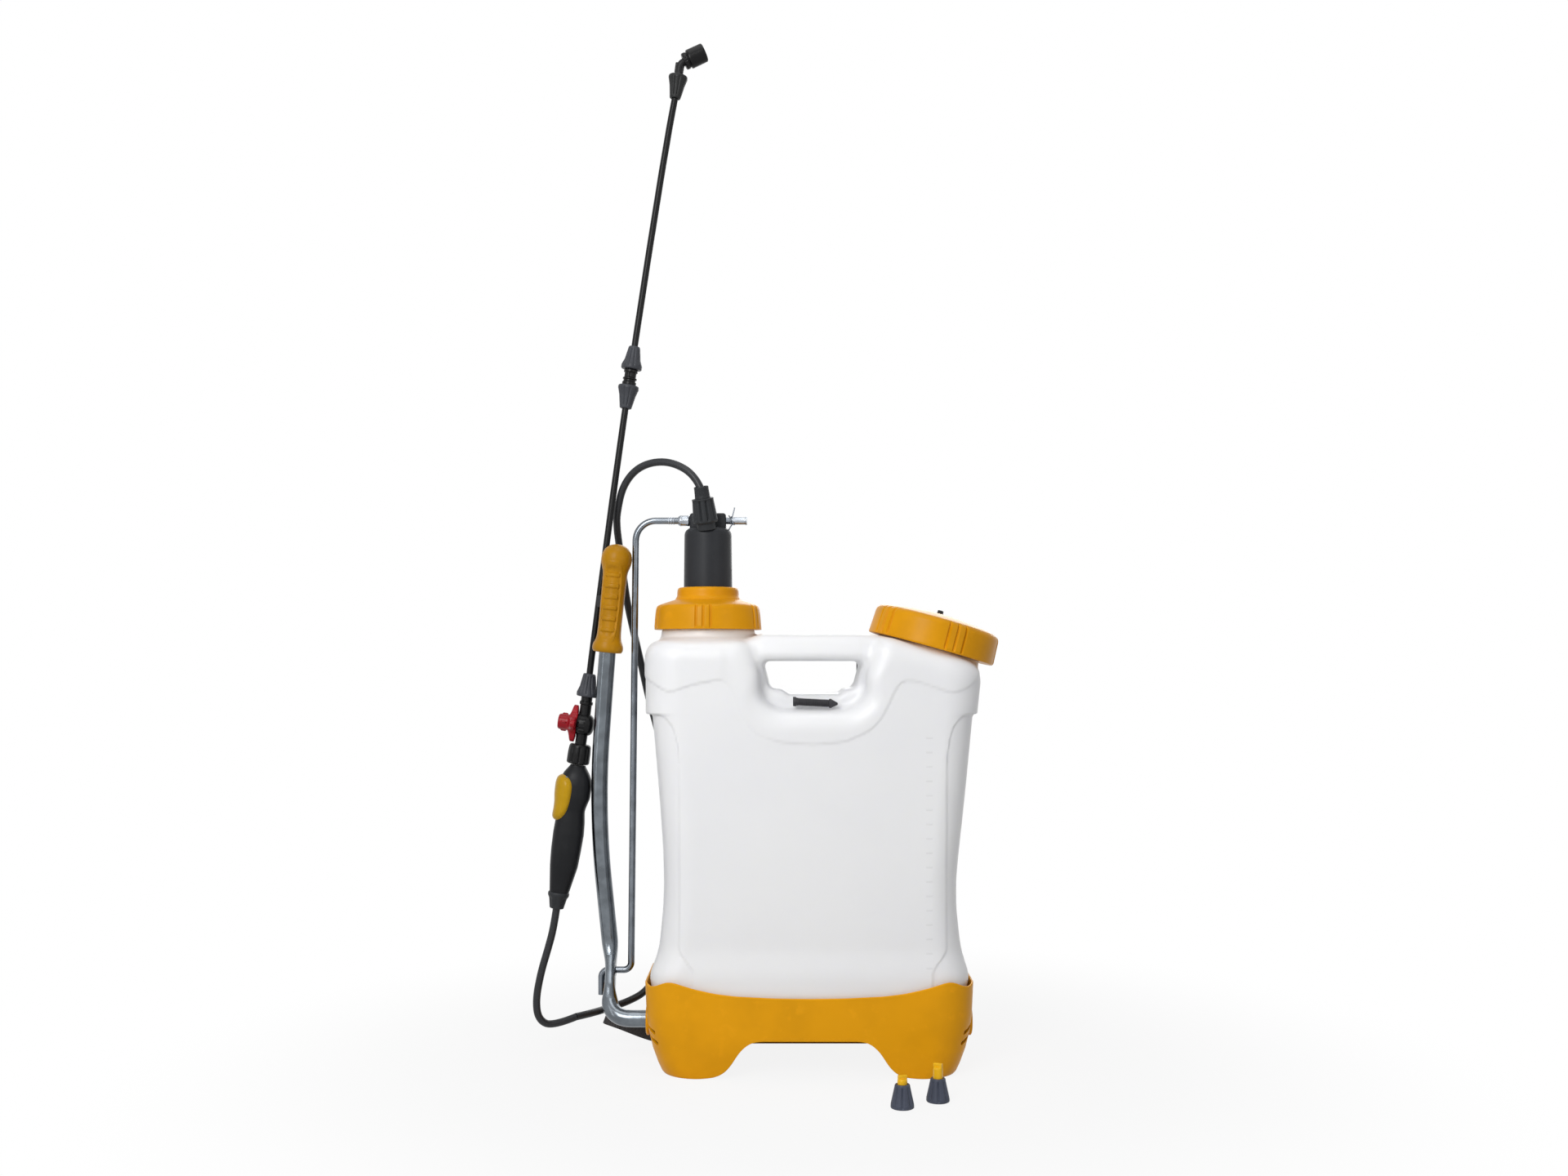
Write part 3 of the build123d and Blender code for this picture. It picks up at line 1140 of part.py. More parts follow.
def strap_web(side):
    """Webbing from the buckle over the base's rim to the lug on the base's back."""
    clear = BASE_HALF_DEPTH + WEB_THICK / 2 + 2 * SOFT_GAP
    y0 = (strap_place(side) * Pos(0, PAD_THICK / 2, 0)).position.Y
    z0 = PAD_BOTTOM_Z - BUCKLE_HEIGHT
    path = FilletPolyline((side * PAD_X, y0, z0 - SOFT_GAP), (side * PAD_X, y0, z0 - WEB_FALL),
                          (side * PAD_X, clear, BASE_HEIGHT + 4), (side * PAD_X, clear, LUG_Z + SOFT_GAP),
                          radius=[12, 20])
    start = Plane(origin=path @ 0, x_dir=(1, 0, 0), z_dir=path % 0)
    return sweep(start * Rectangle(WEB_WIDTH, WEB_THICK), path)


def strap_loop():
    """Slack end of the left webbing: a flat loop that hangs out beside the base, flush with its side."""
    x0 = -BASE_HALF_W + LOOP_ROOT
    reach = LOOP_REACH
    y1 = LOOP_Y + LOOP_HALF
    y0 = LOOP_Y - LOOP_HALF
    path = FilletPolyline((x0, y1, 0), (x0 - 0.5 * reach, y1 + 2, 0), (x0 - reach, y1, 0),
                          (x0 - reach - 6, y0, 0), (x0 - 0.5 * reach, y0 - 4, 0), (x0, y0 + 3, 0),
                          radius=[40, LOOP_HALF - 1, LOOP_HALF - 1, 40])
    start = Plane(origin=path @ 0, x_dir=(0, 0, 1), z_dir=path % 0)
    band = sweep(start * Rectangle(LOOP_BAND, WEB_THICK), path)
    return Pos(x0, 0, LOOP_Z) * Rot(0, LOOP_TILT, 0) * Pos(-x0, 0, 0) * band - base_solid(0)


# ---- loose parts ----

def spare_filter():
    """Spare filter lying in the pocket below the handle slot: ribbed barrel, end disc and pointed tip."""
    r = SPARE_FILTER / 2
    body = rod(r, 0, SPARE_FILTER_LENGTH)
    for i in range(SPARE_RIBS):
        low = SPARE_DISC + 2 + SPARE_RIB_PITCH * i
        body -= ring(r + 1, r - 0.8, low, low + SPARE_RIB_GROOVE)
    body += rod(r + 1, -SPARE_DISC, 0) + rod(r + 0.8, SPARE_FILTER_LENGTH, SPARE_FILTER_LENGTH + 3)
    body += taper(r, 1, SPARE_FILTER_LENGTH + 3, SPARE_FILTER_LENGTH + 3 + SPARE_POINT)
    lying = Rot(0, 90, 0) * body
    return Pos(SPARE_FILTER_X, SPARE_FILTER_Y, POCKET_BOTTOM_Z + r + 1.05) * lying


def loose_nozzle_cone(x, y):
    """Spare nozzle nut standing on the floor."""
    cone = fluted(LOOSE_CONE / 2, LOOSE_CONE_TOP / 2, 0, LOOSE_HEIGHT, 10, FLUTE_DEPTH)
    cone -= rod(LOOSE_TIP / 2, LOOSE_HEIGHT - LOOSE_TIP_ROOT, LOOSE_HEIGHT + 1)
    return Pos(x, y, 0) * cone


def loose_nozzle_tip(x, y, height):
    """Yellow spray tip that sticks out of a spare nozzle nut."""
    flat_z = LOOSE_HEIGHT + height - LOOSE_TIP_FLAT
    tip = rod(LOOSE_TIP / 2, LOOSE_HEIGHT - LOOSE_TIP_ROOT, flat_z)
    tip += Pos(0, 0, flat_z + LOOSE_TIP_FLAT / 2) * Box(LOOSE_TIP - 1, LOOSE_TIP / 2, LOOSE_TIP_FLAT)
    return Pos(x, y, 0) * tip


os.makedirs("parts", exist_ok=True)
save(tank(), "tank")
save(base(), "base")
save(Compound([axle_bush(-1), axle_bush(1)]), "axle_bushes")
save(pump_gasket(), "pump_gasket")
save(pump_body(), "pump_body")
save(pump_cap(), "pump_cap")
save(pump_collar(), "pump_collar")
save(pump_chamber(), "pump_chamber")
save(piston_rod(), "piston_rod")
save(piston(), "piston")
save(piston_seal(), "piston_seal")
save(foot_valve(), "foot_valve")
save(inlet_ball(), "inlet_ball")
save(suction_strainer(), "suction_strainer")
save(link_rod(), "link_rod")
save(rod_collar(), "rod_collar")
save(hairpin_clip(), "hairpin_clip")
save(hose_nut(), "hose_nut")
save(hose_sleeve(), "hose_sleeve")
save(filler_lid(), "filler_lid")
save(lid_gasket(), "lid_gasket")
save(lid_vent(), "lid_vent")
save(filler_basket(), "filler_basket")
save(lever_tube(), "lever_tube")
save(axle_retainer(), "axle_retainer")
save(lever_grip(), "lever_grip")
save(parking_clip(), "parking_clip")
save(gun_tail_nut(), "gun_tail_nut")
save(gun_handle(), "gun_handle")
save(trigger(), "trigger")
save(trigger_pin(), "trigger_pin")
save(valve_plunger(), "valve_plunger")
save(trigger_spring(), "trigger_spring")
save(gun_nut(), "gun_nut")
save(valve_body(), "valve_body")
save(valve_knob(), "valve_knob")
save(lance_nut(LOWER_NUT_S, NUT_LARGE / 2, NUT_SMALL / 2), "lance_lower_nut")
save(lower_tube(), "lance_lower_tube")
save(lance_nut(COUPLER_NUT_S, NUT_SMALL / 2, NUT_LARGE / 2), "coupler_lower_nut")
save(coupler(), "lance_coupler")
save(lance_nut(UPPER_NUT_S, NUT_LARGE / 2, NUT_SMALL / 2), "coupler_upper_nut")
save(upper_tube(), "lance_upper_tube")
save(lance_nut(TOP_NUT_S, TOP_NUT_END / 2, TOP_NUT / 2), "lance_top_nut")
save(nozzle_elbow(), "nozzle_elbow")
save(nozzle_cap(), "nozzle_cap")
for points, name in ((hose_top_points(), "hose_top"), (hose_grip_points(), "hose_grip"),
                     (hose_back_points(), "hose_back"), (hose_lower_points(), "hose_lower")):
    save(hose(points, name), name)
save(hose_clip(), "hose_clip")
save(Compound([strap_pad(-1), strap_pad(1)]), "strap_pads")
save(Compound([strap_buckle(-1), strap_buckle(1)]), "strap_buckles")
save(Compound([strap_web(-1), strap_web(1)]), "strap_webs")
save(strap_loop(), "strap_loop")
save(strap_anchor(), "strap_anchor")
save(spare_filter(), "spare_filter")
for name, x, y, height in LOOSE_NOZZLES:
    save(loose_nozzle_cone(x, y), f"spare_nozzle_nut_{name}")
    save(loose_nozzle_tip(x, y, height), f"spare_nozzle_tip_{name}")
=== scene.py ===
import bmesh
import bpy
import math
import numpy as np
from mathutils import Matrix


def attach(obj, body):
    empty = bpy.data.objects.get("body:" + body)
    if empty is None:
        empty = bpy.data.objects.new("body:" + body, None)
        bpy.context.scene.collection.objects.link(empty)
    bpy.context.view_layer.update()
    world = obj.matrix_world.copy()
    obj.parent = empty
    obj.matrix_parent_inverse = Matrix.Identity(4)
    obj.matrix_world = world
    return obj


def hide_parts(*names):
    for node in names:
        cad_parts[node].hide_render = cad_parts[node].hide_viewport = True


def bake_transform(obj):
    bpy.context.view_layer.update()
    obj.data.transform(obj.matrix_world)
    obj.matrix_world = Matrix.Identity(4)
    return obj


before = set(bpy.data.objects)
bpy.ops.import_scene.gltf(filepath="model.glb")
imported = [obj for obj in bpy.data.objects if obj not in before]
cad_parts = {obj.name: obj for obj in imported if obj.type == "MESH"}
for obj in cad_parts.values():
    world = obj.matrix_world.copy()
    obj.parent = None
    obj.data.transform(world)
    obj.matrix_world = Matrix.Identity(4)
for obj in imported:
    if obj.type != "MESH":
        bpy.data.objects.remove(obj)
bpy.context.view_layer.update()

# Studio: a white floor and surround, a soft box high on the left with a thin strip lamp beside it, weaker
# lamps on the right, overhead and behind, and a level camera 1.9 m in front of the sprayer.
scene = bpy.context.scene
scene.view_settings.view_transform = "Standard"


class Flow:
    """One output of a shader node. Arithmetic adds Math nodes, and node() adds any other kind."""

    def __init__(self, tree, socket=None):
        self.tree = tree
        self.socket = socket

    def node(self, kind, settings, sockets, out=0):
        made = self.tree.nodes.new("ShaderNode" + kind)
        for name, value in settings.items():
            if name == "stops":
                ramp = made.color_ramp.elements
                for place, colour in value[2:]:
                    ramp.new(place)
                for element, (place, colour) in zip(ramp, value):
                    element.position = place
                    element.color = colour
            else:
                setattr(made, name, value)
        for key, value in sockets.items():
            if isinstance(value, Flow):
                self.tree.links.new(value.socket, made.inputs[key])
            else:
                made.inputs[key].default_value = value
        return Flow(self.tree, made.outputs[out] if len(made.outputs) else None)

    def maths(self, operation, first, second):
        return self.node("Math", {"operation": operation}, {0: first, 1: second})

    def __add__(self, other):
        return self.maths("ADD", self, other)

    def __mul__(self, other):
        return self.maths("MULTIPLY", self, other)

    def __sub__(self, other):
        return self.maths("SUBTRACT", self, other)

    def __rsub__(self, other):
        return self.maths("SUBTRACT", other, self)

    __radd__ = __add__
    __rmul__ = __mul__

    def size(self):
        return self.node("Math", {"operation": "ABSOLUTE"}, {0: self})

    def wave(self):
        return self.node("Math", {"operation": "SINE"}, {0: self})

    def rise(self, low, high):
        """0 up to low, 1 from high, a smooth step between them."""
        return self.node("MapRange", {"interpolation_type": "SMOOTHSTEP"}, {0: self, 1: low, 2: high})

    def split(self):
        """The three parts of a vector."""
        apart = self.node("SeparateXYZ", {}, {0: self})
        return [Flow(self.tree, output) for output in apart.socket.node.outputs]

    def noise(self, scale, detail, rough=0.5):
        """Noise read at this place."""
        return self.node("TexNoise", {}, {"Vector": self, "Scale": scale, "Detail": detail,
                                          "Roughness": rough})

    def between(self, low, high):
        """The colour low where this is 0 and high where it is 1."""
        return self.node("Mix", {"data_type": "RGBA"}, {0: self, 6: low, 7: high}, 2)

    def bump(self, strength, distance):
        """The normals of a skin with this height."""
        return self.node("Bump", {}, {"Strength": strength, "Distance": distance, "Height": self})

    def direct(self):
        """1 for rays from the camera or through a mirror or clear matter, 0 for those that light things."""
        ray = self.node("LightPath", {}, {}).socket.node
        seen, mirrored, through = (Flow(self.tree, ray.outputs[f"Is {kind} Ray"])
                                   for kind in ("Camera", "Glossy", "Transmission"))
        return seen + mirrored + through

    def surface(self, material, sockets):
        """Ends a material in one Principled surface and gives the material back."""
        self.node("OutputMaterial", {}, {0: self.node("BsdfPrincipled", {}, sockets)})
        return material


def finish(name):
    """An empty node material and the flow that its nodes start from."""
    material = bpy.data.materials.new(name)
    material.use_nodes = True
    material.node_tree.nodes.clear()
    return material, Flow(material.node_tree)


FLOOR_WHITE = (0.62, 0.62, 0.62, 1)
FLOOR_NEAR = 0.30
FLOOR_FAR = 0.85
FLOOR_SHADE = 0.12
floor_paint, start = finish("studio_floor")
place = start.node("TexCoord", {}, {}, 3)
away = start.node("VectorMath", {"operation": "LENGTH"}, {0: place}, 1)
lit_white = start.direct() * (1 - FLOOR_SHADE + FLOOR_SHADE * away.rise(FLOOR_NEAR, FLOOR_FAR))
matt = start.node("BsdfDiffuse", {}, {0: FLOOR_WHITE})
glow = start.node("Emission", {}, {0: (1, 1, 1, 1), 1: 1.0})
mixed = start.node("MixShader", {}, {0: lit_white, 1: matt, 2: glow})
start.node("OutputMaterial", {}, {0: mixed})
floor_mesh = bpy.data.meshes.new("studio_floor")
floor_mesh.from_pydata([(-3, -2.5, 0), (3, -2.5, 0), (3, 3.5, 0), (-3, 3.5, 0)], [], [(0, 1, 2, 3)])
floor_mesh.materials.append(floor_paint)
studio_floor = bpy.data.objects.new("studio_floor", floor_mesh)
scene.collection.objects.link(studio_floor)

SURROUND_FILL = 0.25
world = bpy.data.worlds.new("surround")
world.use_nodes = True
world.node_tree.nodes.clear()
start = Flow(world.node_tree)
strength = SURROUND_FILL + (1 - SURROUND_FILL) * start.direct()
start.node("OutputWorld", {}, {0: start.node("Background", {}, {0: (1, 1, 1, 1), 1: strength})})
scene.world = world

LAMPS = (("lamp_left", (-0.80, -1.85, 1.40), 0.8, 1.3, 27), ("lamp_strip", (-1.30, -0.95, 0.75), 0.08, 1.5,
                                                             1.6),
         ("lamp_right", (1.6, -1.9, 1.0), 1.0, 1.0, 4), ("lamp_top", (0.0, -0.5, 2.4), 1.2, 1.2, 8),
         ("lamp_back", (0.5, 2.3, 1.4), 1.4, 1.4, 16))
LAMP_AIM = (-0.03, 0.0, 0.5)
for name, spot, width, height, power in LAMPS:
    lamp = bpy.data.lights.new(name, "AREA")
    lamp.energy = power
    lamp.shape = "RECTANGLE"
    lamp.size = width
    lamp.size_y = height
    lit = bpy.data.objects.new(name, lamp)
    lit.location = spot
    aim = [a - b for a, b in zip(LAMP_AIM, spot)]
    pitch = math.atan2(math.hypot(aim[0], aim[1]), -aim[2])
    lit.rotation_euler = (pitch, 0, math.atan2(aim[1], aim[0]) - math.pi / 2)
    scene.collection.objects.link(lit)

CAMERA_SPOT = (-0.0294, -1.862, 0.481)
LENS_MM = 35.625
SENSOR_MM = 36
LENS_SHIFT = 0.0458
lens = bpy.data.cameras.new("camera")
lens.lens = LENS_MM
lens.sensor_width = SENSOR_MM
lens.shift_y = LENS_SHIFT
camera = bpy.data.objects.new("camera", lens)
camera.location = CAMERA_SPOT
camera.rotation_euler = (math.pi / 2, 0, 0)
scene.collection.objects.link(camera)
scene.camera = camera


# Base: injection-moulded skirt in yellow polypropylene that the tank drops into. Its rim dips in a long
# scoop between two crests, an arch opens between the front feet, and two slots vent each front corner.
BASE_YELLOW = (0.80, 0.355, 0.004)
BASE_Z = (0, 0.003, 0.012, 0.030, 0.050, 0.068, 0.110)
BASE_IN = (0.0215, 0.0190, 0.0150, 0.0088, 0.0042, 0.0018, 0)
BASE_HALF = (0.1915, 0.092)
BASE_CORNER = 0.042
BASE_WALL = 0.0026
RIM_X = (0, 0.039, 0.085, 0.1086, 0.1325, 0.147, 0.159, 0.168, 0.176, 0.184, 0.1915)
RIM_Z = (0.0934, 0.0939, 0.0962, 0.0992, 0.1046, 0.1092, 0.1128, 0.1105, 0.1062, 0.1040, 0.1070)
FOOT_X = (0, 0.054, 0.0615, 0.0672, 0.074, 0.0795, 0.0865, 0.094, 0.1035, 0.114, 0.130, 0.150, 0.1915)
FOOT_Z = (0.0445, 0.0445, 0.0430, 0.0398, 0.034, 0.0275, 0.0185, 0.0108, 0.0050, 0.0018, 0.0003, 0.0002, 0)
DECK_Z = 0.082
VENT = (0.020, 0.005)
VENT_AT = ((-0.066, 0.042), (-0.066, 0.054))
VENT_LEAN = math.radians(20)


def once_round(count):
    """Angles once round a circle, evenly apart."""
    return np.linspace(0, 2 * math.pi, count, endpoint=False)


def net(points, loop_u=False, loop_v=True):
    """Corners, quads and their UVs for a grid of points: rows run along u, columns along v, and a looped
    direction joins its last line to its first."""
    m, n = points.shape[:2]
    rows = np.arange(m if loop_u else m - 1)[:, None]
    columns = np.arange(n if loop_v else n - 1)[None, :]
    steps = ((0, 0), (0, 1), (1, 1), (1, 0))
    quads = np.stack([(rows + i) % m * n + (columns + j) % n for i, j in steps], -1)
    along = [(rows + i) / (m - 1 + loop_u) + 0 * columns for i, j in steps]
    across = [(columns + j) / (n - 1 + loop_v) + 0 * rows for i, j in steps]
    uv = np.stack([np.stack(along, -1), np.stack(across, -1)], -1)
    return points.reshape(-1, 3), quads.reshape(-1, 4), uv.reshape(-1, 2)


def moulding(name, nets, crisp=38, closed=True):
    """One mesh object from nets: doubles merged, faces outwards, only edges past an angle left sharp."""
    first = np.cumsum([0] + [len(places) for places, quads, uv in nets])
    mesh = bpy.data.meshes.new(name)
    corners = np.concatenate([places for places, quads, uv in nets])
    quads = np.concatenate([part[1] + offset for part, offset in zip(nets, first)])
    mesh.from_pydata(corners.tolist(), [], quads.tolist())
    mesh.uv_layers.new(name="UVMap").data.foreach_set("uv", np.concatenate([n[2] for n in nets]).ravel())
    work = bmesh.new()
    work.from_mesh(mesh)
    bmesh.ops.remove_doubles(work, verts=work.verts, dist=2e-6)
    bmesh.ops.dissolve_degenerate(work, edges=work.edges, dist=1e-7)
    if closed:
        bmesh.ops.recalc_face_normals(work, faces=work.faces)
    work.to_mesh(mesh)
    work.free()
    mesh.shade_smooth()
    mesh.set_sharp_from_angle(angle=math.radians(crisp))
    thing = bpy.data.objects.new(name, mesh)
    scene.collection.objects.link(thing)
    return thing


def pierce(thing, nets):
    """Cuts closed nets out of a piece and keeps what is left as its mesh."""
    cutter = moulding("cutter", nets)
    cut = thing.modifiers.new("cut", "BOOLEAN")
    cut.object = cutter
    cut.operation = "DIFFERENCE"
    bpy.context.view_layer.update()
    thing.data = bpy.data.meshes.new_from_object(thing.evaluated_get(bpy.context.evaluated_depsgraph_get()))
    thing.modifiers.clear()
    thing.data.set_sharp_from_angle(angle=math.radians(38))
    bpy.data.objects.remove(cutter)


def fit(thing, material, body, slot, *nodes):
    """Gives a piece its material and the body it moves with, and hides the nodes it stands for; its slot is
    not used.
    """
    thing.data.materials.clear()
    thing.data.materials.append(material)
    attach(thing, body)
    if nodes:
        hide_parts(*nodes)
    return thing


def moulded(name, colour, rough, shift=0.06, grain=0.35, scale=14.0, streak=0.0, coat=0.0, gloss=0.22):
    """Moulded plastic: colour drifts by a share over slow noise, fine grain in the bump, rubbed patches
    that are duller, and flow streaks across the height where asked."""
    material, start = finish(name)
    place = start.node("TexCoord", {}, {}, 3)
    slow = place.noise(scale, 3.0)
    fine = place.noise(1500.0, 2.0)
    rubbed = place.noise(46.0, 7.0, 0.62)
    worn = rubbed.rise(0.56, 0.72)
    dark = tuple(c * (1 - shift) for c in colour) + (1,)
    light = tuple(min(1, c * (1 + shift)) for c in colour) + (1,)
    tone = slow.rise(0.35, 0.65).between(dark, light)
    pale = tuple(min(1, c * 1.14 + 0.004) for c in colour) + (1,)
    tone = (worn * 0.5).between(tone, pale)
    drop = start.node("Mapping", {}, {0: place, 3: (90, 90, 6)})
    flow = drop.noise(1.0, 2.0)
    height = fine * grain + flow * streak + slow * 0.4
    bump = height.bump(0.10, 0.0006)
    dull = rough + (slow - 0.5) * 0.10 + worn * 0.12
    return start.surface(material, {"Base Color": tone, "Roughness": dull, "Normal": bump,
                                    "Specular IOR Level": gloss, "Coat Weight": coat, "Coat Roughness": 0.25})


def walked(count):
    """Round a rounded rectangle, anticlockwise from the front's middle: where each point stands on the
    straight runs, -1 to 1 each way, and its outward direction. Runs and corners share count by length."""
    run = 2 * (np.array(BASE_HALF) - BASE_CORNER)
    turn = math.pi / 2 * BASE_CORNER
    lengths = np.array([run[0] / 2, turn, run[1], turn, run[0], turn, run[1], turn, run[0] / 2])
    ends = np.concatenate([[0], np.cumsum(lengths)])
    s = np.linspace(0, ends[-1], count, endpoint=False)
    angle = np.interp(s, ends, np.radians([-90, -90, 0, 0, 90, 90, 180, 180, 270, 270]))
    stand_x = np.interp(s, ends, [0, 1, 1, 1, 1, -1, -1, -1, -1, 0])
    stand_y = np.interp(s, ends, [-1, -1, -1, 1, 1, 1, 1, -1, -1, -1])
    return stand_x, stand_y, np.cos(angle), np.sin(angle)


def skirt(z, inset):
    """Points of the base's outer form at heights z, moved inwards: the rounded rectangle at that height."""
    stand_x, stand_y, face_x, face_y = BASE_WALK
    drop = np.interp(z, BASE_Z, BASE_IN)
    corner = BASE_CORNER - inset
    x = stand_x * (BASE_HALF[0] - drop - BASE_CORNER) + face_x * corner
    y = stand_y * (BASE_HALF[1] - 0.35 * drop - BASE_CORNER) + face_y * corner
    return np.stack([x, y, z + 0 * x], -1)


BASE_WALK = walked(560)
edge_x = np.abs(skirt(np.full(560, 0.09), 0)[:, 0])
rim = np.interp(edge_x, RIM_X, RIM_Z)
soft = np.hanning(13) / np.hanning(13).sum()
rim = np.convolve(np.concatenate([rim[-6:], rim, rim[:6]]), soft, "valid")
foot_x = np.abs(skirt(np.full(560, 0.01), 0)[:, 0])
arch = np.interp(foot_x, FOOT_X, FOOT_Z) * (skirt(np.full(560, 0.01), 0)[:, 1] < -0.03)
arch = np.convolve(np.concatenate([arch[-6:], arch, arch[:6]]), soft, "valid")
bend = np.radians(np.linspace(-80, 80, 7))
lines = [skirt(arch + (rim - arch) * share, 0) for share in np.linspace(0.012, 0.985, 34) ** 1.15]
lines += [skirt(rim + 0.0013 * (np.cos(a) - 1) + 0.0004, BASE_WALL / 2 * (1 + np.sin(a))) for a in bend]
lines += [skirt(arch + (rim - arch) * share, BASE_WALL) for share in np.linspace(0.985, 0.012, 12)]
lines += [skirt(arch + 0.0013 * (1 - np.cos(a)), BASE_WALL / 2 * (1 - np.sin(a))) for a in bend]
base_wall = moulding("base_skirt", [net(np.stack(lines), loop_u=True)])
cutters = []
for y, z in VENT_AT:
    for side in (-1, 1):
        turn = once_round(24)
        flat_y = np.sign(np.cos(turn)) * (VENT[0] - VENT[1]) / 2 + np.cos(turn) * VENT[1] / 2
        flat_z = np.sin(turn) * VENT[1] / 2
        slot_y = y + flat_y * math.cos(VENT_LEAN) - flat_z * math.sin(VENT_LEAN)
        slot_z = z + flat_y * math.sin(VENT_LEAN) + flat_z * math.cos(VENT_LEAN)
        loop = np.stack([0 * turn, slot_y, slot_z], -1)
        middle = np.array([0, y, z])
        rows = [middle + 0 * loop + (side * 0.15, 0, 0), loop + (side * 0.15, 0, 0),
                loop + (side * 0.21, 0, 0),
                middle + 0 * loop + (side * 0.21, 0, 0)]
        cutters.append(net(np.stack(rows)))
pierce(base_wall, cutters)
yellow_base = moulded("yellow_base", BASE_YELLOW, 0.38, 0.05, streak=0.5, gloss=0.12)
fit(base_wall, yellow_base, "root", "yellow_plastic", "base")

deck = [skirt(np.full(560, z), inset) for z, inset in
        ((DECK_Z, 0.09), (DECK_Z, 0.05), (DECK_Z, 0.0015), (DECK_Z - 0.003, 0.0015), (DECK_Z - 0.003, 0.05),
         (DECK_Z - 0.003, 0.09))]
deck[0] = deck[0] * (0, 0, 1)
deck[-1] = deck[-1] * (0, 0, 1)
deck[1] = deck[1] * (0.6, 0.6, 1)
deck[-2] = deck[-2] * (0.6, 0.6, 1)
base_deck = moulding("base_deck", [net(np.stack(deck))])
fit(base_deck, yellow_base, "root", "yellow_plastic")


# Tank: blow-moulded in one piece from milky polyethylene, waisted for the wearer's arms, with a carrying
# slot through a rolled dish, a broad upper band, two necks and a hollow back. It sits in the base's skirt.
LEFT_Z = (0.075, 0.105, 0.113, 0.118, 0.130, 0.142, 0.154, 0.192, 0.221, 0.259, 0.297, 0.3355, 0.393, 0.43,
          0.6)
LEFT_HALF = (0.181, 0.1865, 0.1880, 0.1868, 0.1812, 0.1776, 0.1757, 0.1722, 0.1712, 0.1722, 0.1747, 0.1777,
             0.1826, 0.1862, 0.19)
RIGHT_Z = (0.075, 0.105, 0.113, 0.118, 0.130, 0.142, 0.158, 0.192, 0.2235, 0.254, 0.297, 0.3355, 0.393,
           0.43, 0.6)
RIGHT_HALF = (0.181, 0.1865, 0.1885, 0.1870, 0.1832, 0.1795, 0.1772, 0.1737, 0.1735, 0.1762, 0.1810, 0.1850,
              0.1905, 0.1942, 0.20)
TANK_DEPTH = 0.0812
TANK_CORNER = 0.038
BAND_LEFT = 0.1915
BAND_RIGHT = (0.197, 0.209)
BAND_Z = (0.417, 0.532)
LINE_X = (-0.205, -0.189, -0.175, -0.161, -0.1325, -0.1043, -0.095, -0.088, -0.0795, -0.0700, -0.0590, -0.033,
          0.004, 0.041, 0.069, 0.080, 0.0885, 0.0985, 0.1065, 0.1205, 0.137, 0.1636, 0.182, 0.1926, 0.210)
LINE_Z = (0.466, 0.4595, 0.450, 0.4435, 0.453, 0.4585, 0.4560, 0.4460, 0.4220, 0.4050, 0.3945, 0.3865,
          0.3835, 0.3870, 0.3995, 0.4100, 0.4240, 0.4470, 0.4568, 0.4568, 0.452, 0.4426, 0.448, 0.4566, 0.470)
LINE_PROUD = 0.0012
STEP_Z = 0.417
PANEL = (-0.150, 0.158)
PANEL_TOP = (0.026, 0.048)
PANEL_SINK = 0.0013
SHOULDER_Z = 0.505
HANDLE_Z = 0.512
FILLER_FOOT = (0.1455, 0.0, 0.4925)
FILLER_TILT = 15.7
HOLLOW = (0.580, 0.520)
SLOT_X = 0.0044
DISH_BACK = -0.052
DISH = (0.062, 0.424, 0.030)
PUMP_AXIS = (-0.1205, 0.0)
NECK = 0.053
FILLER_NECK = 0.059
CELL = 0.0027


def join(a, b, k):
    """The nearer of two distances, with a fillet where they meet."""
    h = np.maximum(k - np.abs(a - b), 0) / k
    return np.minimum(a, b) - h * h * k / 4


def keep(a, b, k):
    """What lies in both, with the edge between them rounded."""
    return -join(-a, -b, k)


def ease(t):
    """A smooth step from 0 to 1."""
    t = np.clip(t, 0, 1)
    return t * t * (3 - 2 * t)


def squared(x, y, half_x, half_y, corner):
    """Distance to a rounded rectangle about the origin."""
    qx = np.abs(x) - (half_x - corner)
    qy = np.abs(y) - (half_y - corner)
    return np.hypot(np.maximum(qx, 0), np.maximum(qy, 0)) + np.minimum(np.maximum(qx, qy), 0) - corner


def softened(places, values, width):
    """A table's values read off a fine, smoothed copy of it."""
    fine = np.linspace(places[0], places[-1], 2001)
    read = np.interp(fine, places, values)
    reach = max(3, int(width / (fine[1] - fine[0])))
    bell = np.hanning(2 * reach + 1)[1:-1]
    padded = np.pad(read, reach - 1, mode="edge")
    return fine, np.convolve(padded, bell / bell.sum(), "valid")


left_z, left_half = softened(LEFT_Z, LEFT_HALF, 0.016)
right_z, right_half = softened(RIGHT_Z, RIGHT_HALF, 0.016)
line_x, line_z = softened(LINE_X, LINE_Z, 0.009)
line_lean = 1 / np.sqrt(1 + np.gradient(line_z, line_x) ** 2)


